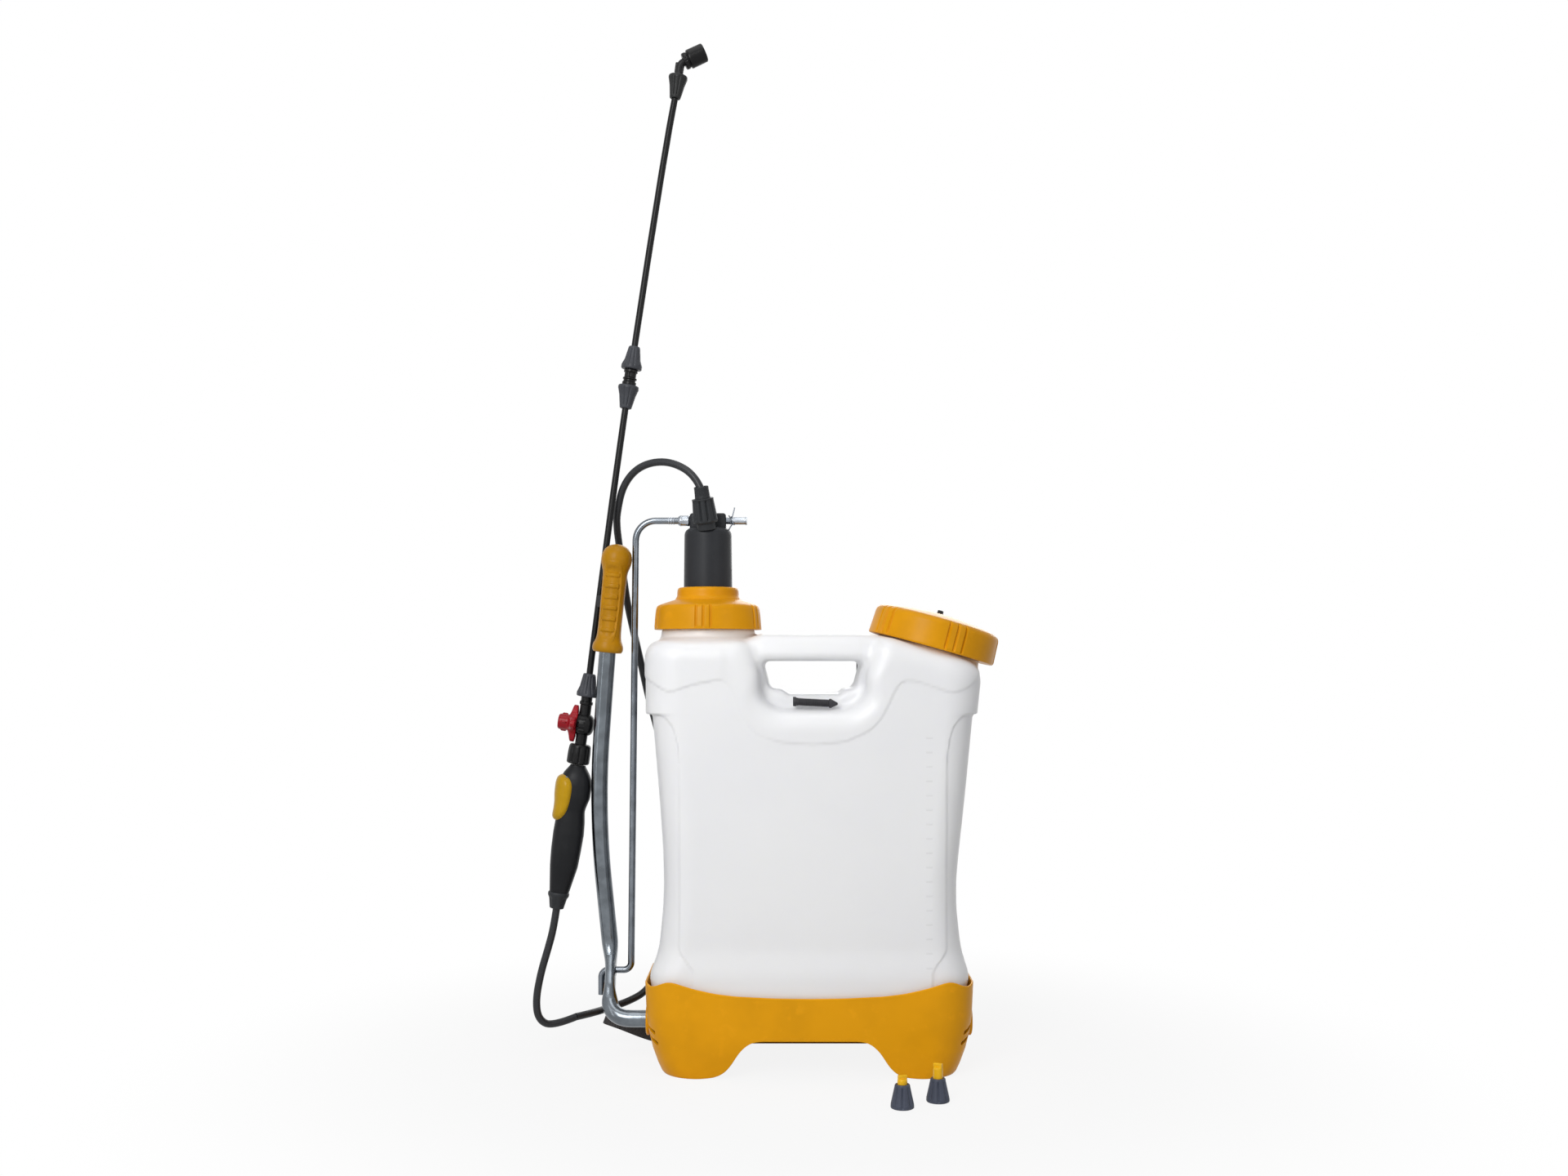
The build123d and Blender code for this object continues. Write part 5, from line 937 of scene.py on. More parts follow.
swirl = np.linspace(-2.5, 2.5, 60)[:, None]
clip_loop = np.concatenate([0 * swirl - 0.0925 + 0.0012 * swirl / 2.5, 0.0050 * np.sin(swirl),
                            PIN_Z + 0.0050 * np.cos(swirl)], 1)
clip_up = np.array([(-0.0931, -0.0030, PIN_Z + 0.0034), (-0.0915, -0.0054, PIN_Z + 0.004),
                    (-0.0895, -0.0052, PIN_Z + 0.011), (-0.0885, -0.0050, PIN_Z + 0.0155)])
clip_down = np.array([(-0.0910, 0.0040, PIN_Z - 0.0040), (-0.0925, -0.0056, PIN_Z - 0.0062),
                      (-0.0945, -0.0056, PIN_Z - 0.0095), (-0.0955, -0.0050, PIN_Z - 0.0115)])
clip_through = np.array([(-0.0955, -0.0056, PIN_Z + 0.0060), (-0.0935, -0.0053, PIN_Z + 0.0035),
                         (-0.0905, -0.0056, PIN_Z - 0.0035), (-0.0885, -0.0054, PIN_Z - 0.0055)])
wires = [piped(line, 0.0008, 10) for line in (clip_loop, denser(eased(clip_up, 0.002), 0.001),
                                              denser(eased(clip_down, 0.002), 0.001),
                                              denser(eased(clip_through, 0.001), 0.001))]
hairpin = moulding("sprung_wire_clip", wires)
fit(hairpin, zinc_wire, "link_rod", "zinc_steel", "hairpin_clip")


# Lever grip: yellow moulded hand grip with a ball end, a sunk oval panel of six finger bars facing forwards
# and a flared hand stop below.
GRIP_FOOT = (-0.2415, 0, 0.490)
GRIP_TILT = 5.8
at_grip = leaning(GRIP_FOOT, GRIP_TILT)
grip = eased([(0.0104, -0.0005), (0.0165, 0.0000), (0.0186, 0.0030), (0.0182, 0.0090), (0.0146, 0.0165),
              (0.0139, 0.0300), (0.0142, 0.0700), (0.0147, 0.0960), (0.0158, 0.1000), (0.0178, 0.1060),
              (0.0186, 0.1120),
              (0.0178, 0.1180), (0.0152, 0.1235), (0.0110, 0.1275), (0.0058, 0.1297), (0, 0.1303)],
             (0.0010, 0.0030, 0.0035, 0.006, 0.01, 0.02, 0.004, 0.003, 0.003, 0.003, 0.003, 0.003, 0.003,
              0.003), 7)
BAR_FIRST = 0.0270
BAR_STEP = 0.01315


def finger_panel(angle, r, z):
    """The sunk oval on the grip's front and the bars across it."""
    off = (angle + math.radians(96) + math.pi) % (2 * math.pi) - math.pi
    across = off * 0.0143
    oval = (np.abs(across / 0.0118) ** 3.2 + np.abs((z - 0.0600) / 0.0430) ** 3.2) ** (1 / 3.2)
    sunk = ease((1.04 - oval) / 0.12)
    lip = ease((1.16 - oval) / 0.05) * (1 - sunk)
    beat = (z - BAR_FIRST) / BAR_STEP
    near = np.abs(beat - np.clip(np.round(beat), 0, 5)) * BAR_STEP
    bar = ease((0.0032 - near) / 0.0016) * ease((0.0100 - np.abs(across)) / 0.0015)
    return -0.0014 * sunk + 0.0017 * bar * sunk + 0.0004 * lip


grip_yellow = moulded("grip_yellow", (0.47, 0.215, 0.0035), 0.36, 0.07, grain=0.5, scale=30.0, gloss=0.15)
lever_grip = moulding("lever_hand_grip", [turned(denser(grip, 0.0009), at_grip, 200, finger_panel)],
                      closed=False)
fit(lever_grip, grip_yellow, "lever", "yellow_plastic", "lever_grip")
refinish(slate_nut, "slate_plastic", "parking_clip")


# Spray gun: a dark moulded handle, swollen at the palm and domed at the head, with a long yellow trigger
# lobe wrapped round its left side, a hose nut at the tail and a black lobed ring nut at the head.
LANCE_FOOT = (-0.305, 0.018, 0.180)
LANCE_TILT = 8.33
straight = leaning(LANCE_FOOT, LANCE_TILT)
BOW_S = (0, 0.24, 0.30, 0.40, 0.50, 0.60, 0.70, 0.80, 0.90, 0.96, 0.995, 1.05)
BOW = (0, 0, 0.0018, 0.0034, 0.0046, 0.0051, 0.0049, 0.0042, 0.0029, 0.0015, 0, 0)
bow_s, bow = softened(BOW_S, BOW, 0.012)


def at_lance(p):
    """A place on the lance: its axis leans to the right, and between the gun and the nozzle it springs a few
    millimetres to the left."""
    left = np.interp(p[..., 2], bow_s, bow)
    return straight(p - left[..., None] * np.array([1.0, 0, 0]))


GUN_UP = (0.0198, 0.022, 0.052, 0.072, 0.092, 0.107, 0.117, 0.121, 0.127, 0.137, 0.152, 0.160, 0.166, 0.171,
          0.1755)
GUN_RIGHT = (0.0118, 0.0124, 0.0181, 0.0192, 0.0198, 0.0187, 0.0172, 0.0168, 0.0180, 0.0208, 0.0206, 0.0190,
             0.0162, 0.0128, 0.0095)
GUN_LEFT = (0.0112, 0.0116, 0.0155, 0.0169, 0.0173, 0.0168, 0.0163, 0.0163, 0.0168, 0.0178, 0.0178, 0.0168,
            0.0146, 0.0110, 0.0080)
GUN_DEEP = (0.0105, 0.0110, 0.0140, 0.0152, 0.0158, 0.0154, 0.0148, 0.0147, 0.0154, 0.0168, 0.0168, 0.0158,
            0.0138, 0.0110, 0.0085)
gun_up, gun_right = softened(GUN_UP, GUN_RIGHT, 0.0035)
gun_left = softened(GUN_UP, GUN_LEFT, 0.0035)[1]
gun_deep = softened(GUN_UP, GUN_DEEP, 0.0035)[1]


def gun_skin(angle, s, proud):
    """The handle's skin at an angle from its right side and a height along the lance: an oval between the
    right and left tables, squared by its depth, moved out by proud."""
    right, left, deep = (np.interp(s, gun_up, table) for table in (gun_right, gun_left, gun_deep))
    c, d = np.cos(angle), np.sin(angle)
    round_off = (np.abs(c) ** 2.3 + np.abs(d) ** 2.3) ** (-1 / 2.3)
    wide = (right + left) / 2 + proud
    x = (right - left) / 2 + wide * c * round_off
    return np.stack([x, (deep + proud) * d * round_off, s], -1)


s = np.concatenate([[0.0198], np.linspace(0.0200, 0.1755, 130), [0.1757]])[:, None]
angle = once_round(120)[None, :]
skin = gun_skin(angle + 0 * s, s + 0 * angle, 0.0)
skin[0] = skin[0] * (0, 0, 1) + (0.0006, 0, 0)
skin[-1] = skin[-1] * (0, 0, 1) + (0.0006, 0, 0)
gun_slate = moulded("gun_slate", (0.0095, 0.0102, 0.0118), 0.40, 0.10, grain=0.7, scale=24.0, gloss=0.16)
gun = moulding("gun_handle_shell", [net(at_lance(skin))])
fit(gun, gun_slate, "lance", "slate_plastic", "gun_handle")

TRIGGER_MIDDLE = 0.1345
TRIGGER_HALF = 0.0287
TRIGGER_WRAP = math.radians(76)
TRIGGER_TURN = math.radians(9)


def lobe(reach, proud, sink):
    """A pad laid on the handle's left: rings grow from its middle to a squared oval outline, and it stands
    proud by a crown that rolls down and under at the edge."""
    ring_share = np.concatenate([np.linspace(0, 0.8, 16), np.linspace(0.83, 1.0, 14), [1.0, 0.9, 0.0]])
    roll = np.concatenate([1 - np.concatenate([np.linspace(0, 0.8, 16), np.linspace(0.83, 1.0, 14)]) ** 12,
                           [0, 0, 0]])[:, None]
    dip = np.concatenate([np.zeros(30), [1, 1, 1]])[:, None]
    around = once_round(96)[None, :]
    c, d = np.cos(around), np.sin(around)
    outline = (np.abs(c) ** 3.0 + np.abs(d) ** 3.0) ** (-1 / 3.0)
    across = ring_share[:, None] * c * outline * reach
    along = ring_share[:, None] * d * outline
    up = TRIGGER_MIDDLE + along * TRIGGER_HALF
    hollow = 0.0008 * np.exp(-((along + 0.15) / 0.35) ** 2)
    out = (proud - hollow) * roll - sink * (1 - roll) - 0.002 * dip
    turn = math.pi + TRIGGER_TURN + across * (1 - 0.16 * along ** 2 * np.sign(-along))
    return net(at_lance(gun_skin(turn, up, out)))


trigger_yellow = moulded("trigger_yellow", (0.50, 0.285, 0.004), 0.28, 0.05, grain=0.4, scale=30.0,
                         coat=0.05, gloss=0.15)
trigger = moulding("trigger_lobe", [lobe(TRIGGER_WRAP, 0.0052, 0.0012)])
fit(trigger, trigger_yellow, "trigger", "trigger_plastic", "trigger")


def nut_line(foot, top, low, high, bore, lip=0.0009):
    """Outline of a tapered ring nut: foot and top radii at two heights, a rounded lip at the wide end and a
    shallow bore at each end."""
    wide_top = top > foot
    step = 0.0016 * (1 if wide_top else -1)
    shoulder = [(foot, low + 0.0008), (foot + (top - foot) * 0.52, (low + high) / 2 + 1.2 * step),
                (top, high - 0.0012)]
    if wide_top:
        shoulder[2:] = [(top - 0.0004, high - 0.0050), (top, high - 0.0040), (top, high - 0.0012)]
    else:
        shoulder[:1] = [(foot, low + 0.0012), (foot, low + 0.0050)]
    body = [(bore, low), (foot - lip, low)] + shoulder + [(top - lip, high), (bore, high)]
    return denser(eased([(bore, low + 0.004)] + body + [(bore, high - 0.004)], lip, 4), 0.0009)


tail = nut_line(0.0086, 0.0128, 0.0, 0.0203, 0.0046)
tail_nut = moulding("hose_tail_nut", [turned(tail, at_lance, 120, flutes(8, 0.0012, 0.0150, 0.0005, 3))],
                    closed=False)
fit(tail_nut, slate_nut, "lance", "slate_plastic", "gun_tail_nut")
ring_nut = denser(eased([(0.0064, 0.1768), (0.0120, 0.1768), (0.0137, 0.1782), (0.0137, 0.1900),
                         (0.0130, 0.1985),
                         (0.0116, 0.2010), (0.0064, 0.2010)], 0.0012), 0.0009)
black_gloss = moulded("black_gloss", (0.0055, 0.0055, 0.0060), 0.30, 0.10, grain=0.3, scale=40.0, coat=0.04,
                      gloss=0.16)
gun_nut = moulding("gun_ring_nut", [turned(ring_nut, at_lance, 144, flutes(9, 0.1775, 0.1990, 0.0014, 4))],
                   closed=False)
fit(gun_nut, black_gloss, "lance", "black_plastic", "gun_nut")


# Shut-off valve: a black tube with a toothed cross drum, and the red four-lobed knob that turns in it.
DRUM_S = 0.2250
VALVE_TOP = 0.2590
tube = denser(eased([(0.0025, 0.1995), (0.0069, 0.1995), (0.0069, 0.2490), (0.0080, 0.2495), (0.0080, 0.2530),
                     (0.0068, 0.2537), (0.0068, VALVE_TOP + 0.001), (0.0025, VALVE_TOP + 0.001)], 0.0005),
              0.0015)
drum = denser(eased([(0, -0.0080), (0.0122, -0.0080), (0.0134, -0.0040), (0.0136, 0.0040), (0.0125, 0.0090),
                     (0.0085, 0.0122), (0, 0.0134)], (0.0009, 0.002, 0.003, 0.003, 0.003)), 0.0009)


def drum_place(p):
    """The drum's own axis lies across the lance, to the right."""
    return at_lance(np.stack([p[..., 2], p[..., 1], DRUM_S - p[..., 0]], -1))


def knob_place(p):
    """The knob's own axis lies across the lance, to the left."""
    return at_lance(np.stack([-p[..., 2], p[..., 1], DRUM_S + p[..., 0]], -1))


def teeth(angle, r, z):
    """Eighteen small teeth round the drum's rim."""
    return 0.0007 * ease(np.cos(18 * angle) * 2) * ease((z + 0.006) / 0.002) * ease((0.004 - z) / 0.002) \
        * (r > 0.0120)


valve = moulding("shut_off_valve", [turned(tube, at_lance, 72), turned(drum, drum_place, 144, teeth)])
fit(valve, black_gloss, "lance", "black_plastic", "valve_body")
knob_line = denser(eased([(0, 0.0040), (0.0040, 0.0040), (0.0040, 0.0083), (0.0123, 0.0083), (0.0137, 0.0070),
                          (0.0141, 0.0078), (0.0141, 0.0140), (0.0132, 0.0164), (0.0098, 0.0180),
                          (0.0096, 0.0200), (0.0094, 0.0285), (0.0084, 0.0303), (0.0058, 0.0306),
                          (0.0052, 0.0296),
                          (0, 0.0294)], 0.0007), 0.0008)


def knob_lobes(angle, r, z):
    """Four rounded lobes on the flange and a fine rib along each up the hub."""
    wing = (0.5 + 0.5 * np.cos(4 * angle)) ** 1.8
    rib = (0.5 + 0.5 * np.cos(4 * angle)) ** 24
    flat = ease((z - 0.0068) / 0.0020) * ease((0.0176 - z) / 0.0045) * ease((r - 0.0126) / 0.0012)
    return 0.0083 * wing * flat + 0.0016 * rib * ease((z - 0.0190) / 0.0020) * ease((0.0270 - z) / 0.001) \
        * (r > 0.0075)


knob_red = moulded("knob_red", (0.330, 0.0060, 0.0140), 0.28, 0.08, grain=0.1, scale=50.0, coat=0.08,
                   gloss=0.15)
valve_knob = moulding("shut_off_knob", [turned(knob_line, knob_place, 144, knob_lobes)])
fit(valve_knob, knob_red, "knob", "red_plastic", "valve_knob")


# Lance: two lengths of black tube joined by a coupler, each end gripped by a fluted slate ring nut, and at
# the top an elbow with a black spray cap that turns on it.
def clamp_nut(name, material, node, foot, top, low, high, grooves=10):
    """One tapered ring nut on the lance between two heights, with grooves round it."""
    line = nut_line(foot, top, low, high, 0.0041)
    nut = moulding(name, [turned(line, at_lance, 120, flutes(grooves, low + 0.0022, high - 0.0022, 0.0009,
                                                             5))],
                   closed=False)
    fit(nut, material, "lance", "slate_plastic", node)


lance_slate = moulded("lance_slate", (0.050, 0.053, 0.062), 0.42, 0.10, grain=0.8, scale=40.0)
nut_black = moulded("nut_black", (0.0160, 0.0165, 0.0170), 0.45, 0.10, grain=0.8, scale=40.0)
clamp_nut("lower_clamp_nut", lance_slate, "lance_lower_nut", 0.0129, 0.0076, 0.2588, 0.2870, 12)
clamp_nut("coupler_foot_nut", lance_slate, "coupler_lower_nut", 0.0072, 0.0126, 0.6110, 0.6392)
clamp_nut("coupler_head_nut", lance_slate, "coupler_upper_nut", 0.0126, 0.0070, 0.6588, 0.6870)
clamp_nut("top_clamp_nut", nut_black, "lance_top_nut", 0.0066, 0.0115, 0.9910, 1.0192)
for length, low, high in (("lower", 0.2840, 0.6140), ("upper", 0.6840, 0.9940)):
    wall = denser(np.array([(0, low), (0.0040, low), (0.0040, high), (0, high)]), 0.010)
    tube = moulding(f"lance_{length}_length", [turned(wall, at_lance, 32)])
    fit(tube, black_gloss, "lance", "black_plastic", f"lance_{length}_tube")
coupler_line = denser(eased([(0.0040, 0.6385), (0.0082, 0.6385), (0.0086, 0.6400), (0.0086, 0.6432),
                             (0.0076, 0.6440),
                             (0.0074, 0.6460), (0.0086, 0.6466), (0.0086, 0.6482), (0.0072, 0.6490),
                             (0.0072, 0.6545),
                             (0.0084, 0.6550), (0.0084, 0.6580), (0.0072, 0.6592), (0.0040, 0.6592)],
                            0.0004), 0.0008)
coupler = moulding("lance_coupler_body", [turned(coupler_line, at_lance, 96, flutes(8, 0.6485, 0.6550,
                                                                                    0.0009, 3))],
                   closed=False)
fit(coupler, black_gloss, "lance", "black_plastic", "lance_coupler")

NOZZLE_S = 1.0340
NOZZLE_TURN = 65.0 - LANCE_TILT
nozzle_foot = at_lance(np.array([0.0, 0.0, NOZZLE_S]))
at_nozzle = leaning(tuple(nozzle_foot), 65.0)
over = math.radians(NOZZLE_TURN)
bend = np.array([(0, 0, 1.0150), (0, 0, 1.0190), (0, 0, NOZZLE_S),
                 (0.014 * math.sin(over), 0, NOZZLE_S + 0.014 * math.cos(over))])
bend = denser(eased(bend, (0.001, 0.0055), 9), 0.001)
thick = np.interp(bend[:, 2], (1.0190, 1.0230, 1.0300, 1.0420), (0.0060, 0.0048, 0.0046, 0.0046))
elbow = piped(bend, thick, 40)
lug = box_round((0, 0, 1.0285), (0.0054, 0.0030, 0.0062), 0.0012)
elbow_piece = moulding("nozzle_elbow_tube", [(at_lance(elbow[0]), elbow[1], elbow[2]),
                                             (at_lance(lug[0]), lug[1], lug[2])])
fit(elbow_piece, black_trim, "lance", "black_plastic", "nozzle_elbow")
cap_line = denser(eased([(0.0052, 0.0050), (0.0092, 0.0050), (0.0101, 0.0062), (0.0101, 0.0098),
                         (0.0094, 0.0104),
                         (0.0094, 0.0112), (0.0112, 0.0118), (0.0116, 0.0132), (0.0114, 0.0318),
                         (0.0104, 0.0330),
                         (0.0072, 0.0330), (0.0022, 0.0272), (0.0008, 0.0268), (0.0008, 0.0200)], 0.0007),
                  0.0008)
nozzle = moulding("spray_cap", [turned(cap_line, at_nozzle, 144, flutes(20, 0.0052, 0.0100, 0.0006, 2))],
                  closed=False)
fit(nozzle, black_gloss, "nozzle_cap", "black_plastic", "nozzle_cap")
refinish(black_gloss, "black_plastic", "valve_plunger")


# Hose: 9 mm black hose from the pump's outlet over the grip's ball, down behind grip and tank, round the
# base's back corner, out under the lever and up into the gun's tail. Each stretch ends where a part holds it.
HOSE = 0.009
OVER_THE_TOP = [(-0.1265, -0.0295, 0.6793), (-0.1298, -0.0288, 0.6900), (-0.1460, -0.0225, 0.7085),
                (-0.1740, -0.0110, 0.7190), (-0.2045, 0.0035, 0.7135), (-0.2250, 0.0190, 0.6920),
                (-0.2330, 0.0300, 0.6600), (-0.2338, 0.0345, 0.6460), (-0.2331, 0.0380, 0.6360)]
BEHIND_GRIP = [(-0.2331, 0.0380, 0.6360), (-0.2317, 0.043, 0.622), (-0.2275, 0.050, 0.585),
               (-0.223, 0.057, 0.550),
               (-0.218, 0.060, 0.526), (-0.2125, 0.066, 0.500)]
DOWN_THE_BACK = [(-0.2125, 0.066, 0.500), (-0.207, 0.072, 0.474), (-0.199, 0.081, 0.434),
                 (-0.1885, 0.087, 0.394),
                 (-0.180, 0.0875, 0.362), (-0.176, 0.0855, 0.326), (-0.176, 0.0855, 0.266),
                 (-0.1735, 0.087, 0.222),
                 (-0.175, 0.094, 0.176), (-0.180, 0.103, 0.132), (-0.188, 0.109, 0.088),
                 (-0.2035, 0.109, 0.060),
                 (-0.228, 0.101, 0.0480), (-0.250, 0.087, 0.0440), (-0.263, 0.062, 0.0440),
                 (-0.285, 0.044, 0.0425)]
UP_TO_GUN = [(-0.285, 0.044, 0.0425), (-0.311, 0.029, 0.0345), (-0.3270, 0.020, 0.0440),
             (-0.3303, 0.018, 0.068),
             (-0.3240, 0.018, 0.102), (-0.3150, 0.018, 0.132), (-0.3085, 0.018, 0.1562),
             (-0.305, 0.018, 0.180)]


def routed(points):
    """Points along the smooth NURBS line that a route's points control."""
    curve = bpy.data.curves.new("route", "CURVE")
    curve.dimensions = "3D"
    spline = curve.splines.new("NURBS")
    spline.points.add(len(points) - 1)
    spline.points.foreach_set("co", np.c_[points, np.ones(len(points))].ravel())
    spline.order_u = 3
    spline.use_endpoint_u = True
    curve.resolution_u = 16
    drawn_curve = bpy.data.objects.new("route", curve)
    scene.collection.objects.link(drawn_curve)
    bpy.context.view_layer.update()
    read = bpy.data.meshes.new_from_object(drawn_curve)
    line = np.array([v.co for v in read.vertices])
    bpy.data.objects.remove(drawn_curve)
    return line


def hose_black():
    """Black hose: dull vinyl with a soft shine, a fine grain and a dusting of pale scuffs."""
    material, start = finish("hose_black")
    place = start.node("TexCoord", {}, {}, 3)
    scuff = place.noise(90.0, 6.0, 0.65)
    fine = place.noise(900.0, 2.0)
    worn = scuff.rise(0.55, 0.72)
    tone = (worn * 0.7).between((0.0205, 0.0218, 0.0250, 1), (0.038, 0.038, 0.042, 1))
    bump = (fine * 0.6 + scuff).bump(0.12, 0.0004)
    return start.surface(material, {"Base Color": tone, "Roughness": 0.38 + worn * 0.2, "Normal": bump,
                                    "Specular IOR Level": 0.30})


hose_finish = hose_black()


def hose(name, points, node, body, other=None):
    """One stretch of hose: its tube, moving with its body, or left unattached where it runs between two
    bodies; the node it stands for is hidden.
    """
    line = denser(routed(points), 0.0022)
    tube = moulding(name, [piped(line, HOSE / 2, 28)])
    tube.data.materials.append(hose_finish)
    if other:
        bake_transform(tube)
    else:
        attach(tube, body)
    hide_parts(node)


hose("hose_over_the_top", OVER_THE_TOP, "hose_top", "chamber", "root")
hose("hose_behind_grip", BEHIND_GRIP, "hose_grip", "root", "lever")
hose("hose_down_the_back", DOWN_THE_BACK, "hose_back", "root", "lever")
hose("hose_up_to_gun", UP_TO_GUN, "hose_lower", "lever", "lance")
refinish(slate_nut, "slate_plastic", "hose_clip", "strap_anchor")


# Shoulder straps: two foam pads in black cloth with a bound edge and three stitched channels, hung from the
# cross bar behind the handle, each with a ladder buckle and webbing down to the base.
PAD_TOP = 0.486
PAD_FOOT = 0.185
PAD_HALF = 0.026
PAD_X = 0.088
PAD_THICK = 0.012
PAD_CAP = 0.0045
STITCH_ROWS = (-0.0125, 0.0, 0.0125)


def back_place(side):
    """The frame of one strap: x across it, y away from the tank's hollow back, its edges against the back."""
    inner, outer = (HOLLOW[0] + 0.002 - math.sqrt((HOLLOW[1] + 0.002) ** 2 - (PAD_X + d) ** 2)
                    for d in (-PAD_HALF, PAD_HALF))
    a = side * math.atan2(outer - inner, 2 * PAD_HALF)
    turn = np.array([[math.cos(a), -math.sin(a), 0], [math.sin(a), math.cos(a), 0], [0, 0, 1]])
    return lambda p: p @ turn.T + np.array((side * PAD_X, (inner + outer) / 2 + 0.0003, 0))


def weave(name, colour, light, pitch, rough):
    """Woven polyester: crossing ribs a pitch apart along and across the piece's own UV, paler on the ribs,
    with fluffed patches that are lighter still."""
    material, start = finish(name)
    along, across = [way * (2 * math.pi / pitch) for way in start.node("UVMap", {}, {}).split()[:2]]
    ribbed = (along + across).wave() * 0.5 + (along - across).wave() * 0.5
    place = start.node("TexCoord", {}, {}, 3)
    fluff = place.noise(120.0, 6.0, 0.7)
    lift = ribbed * 0.3 + 0.35 + fluff.rise(0.45, 0.75) * 0.5
    tone = lift.between(colour + (1,), light + (1,))
    bump = (ribbed * 0.5 + fluff * 0.5).bump(0.55, 0.0004)
    return start.surface(material, {"Base Color": tone, "Roughness": rough + fluff * 0.1, "Normal": bump,
                                    "Specular IOR Level": 0.25, "Sheen Weight": 0.25, "Sheen Roughness": 0.5})


def pad_cloth():
    """The pads' cover: fine black cloth with three rows of stitches down it and a crease along each row."""
    material, start = finish("pad_cloth")
    place = start.node("TexCoord", {}, {}, 3)
    x, y, z = place.split()
    x = x.size()
    weft = (z * (2 * math.pi / 0.0011)).wave()
    warp = (x * (2 * math.pi / 0.0011)).wave()
    grain = weft * warp
    stitch = (z * (2 * math.pi / 0.0045)).wave().rise(-0.2, 0.3)
    rows = 0
    for offset in STITCH_ROWS:
        rows = (x - (PAD_X + offset)).size().rise(0.0009, 0.0004) + rows
    thread_mask = stitch * rows * z.rise(PAD_FOOT + 0.012, PAD_FOOT + 0.014) * z.rise(PAD_TOP - 0.010,
                                                                                      PAD_TOP - 0.013)
    fluff = place.noise(60.0, 6.0, 0.7)
    cloth = fluff.rise(0.4, 0.75).between((0.018, 0.018, 0.020, 1), (0.042, 0.042, 0.046, 1))
    tone = thread_mask.between(cloth, (0.13, 0.13, 0.135, 1))
    height = grain * 0.35 + thread_mask * 0.8 + fluff * 0.5
    bump = height.bump(0.5, 0.0005)
    return start.surface(material, {"Base Color": tone, "Roughness": 0.82 + grain * 0.05, "Normal": bump,
                                    "Specular IOR Level": 0.25, "Sheen Weight": 0.3, "Sheen Roughness": 0.5})


def stuffed(thing):
    """Blows a small form up as cloth under pressure for 20 frames and keeps each corner's move through the
    pad's thickness, under a cap, so that the cover stays at its bound edge."""
    remesh = thing.modifiers.new("even", "REMESH")
    remesh.mode = "VOXEL"
    remesh.voxel_size = 0.0042
    bpy.context.view_layer.update()
    even = bpy.data.meshes.new_from_object(thing.evaluated_get(bpy.context.evaluated_depsgraph_get()))
    thing.modifiers.clear()
    thing.data = even
    rest = np.array([v.co for v in even.vertices])
    cloth = thing.modifiers.new("cloth", "CLOTH")
    cloth.settings.use_pressure = True
    cloth.settings.uniform_pressure_force = 4.0
    cloth.settings.effector_weights.gravity = 0.0
    cloth.settings.quality = 5
    for frame_number in range(1, 21):
        scene.frame_set(frame_number)
    blown = thing.evaluated_get(bpy.context.evaluated_depsgraph_get())
    now = np.array([v.co for v in blown.data.vertices])
    thing.modifiers.clear()
    scene.frame_set(1)
    move = (now - rest) * (0, 1, 0)
    size = np.linalg.norm(move, axis=1, keepdims=True)
    rest = rest + move * np.minimum(1, PAD_CAP / np.maximum(size, 1e-9))
    return rest


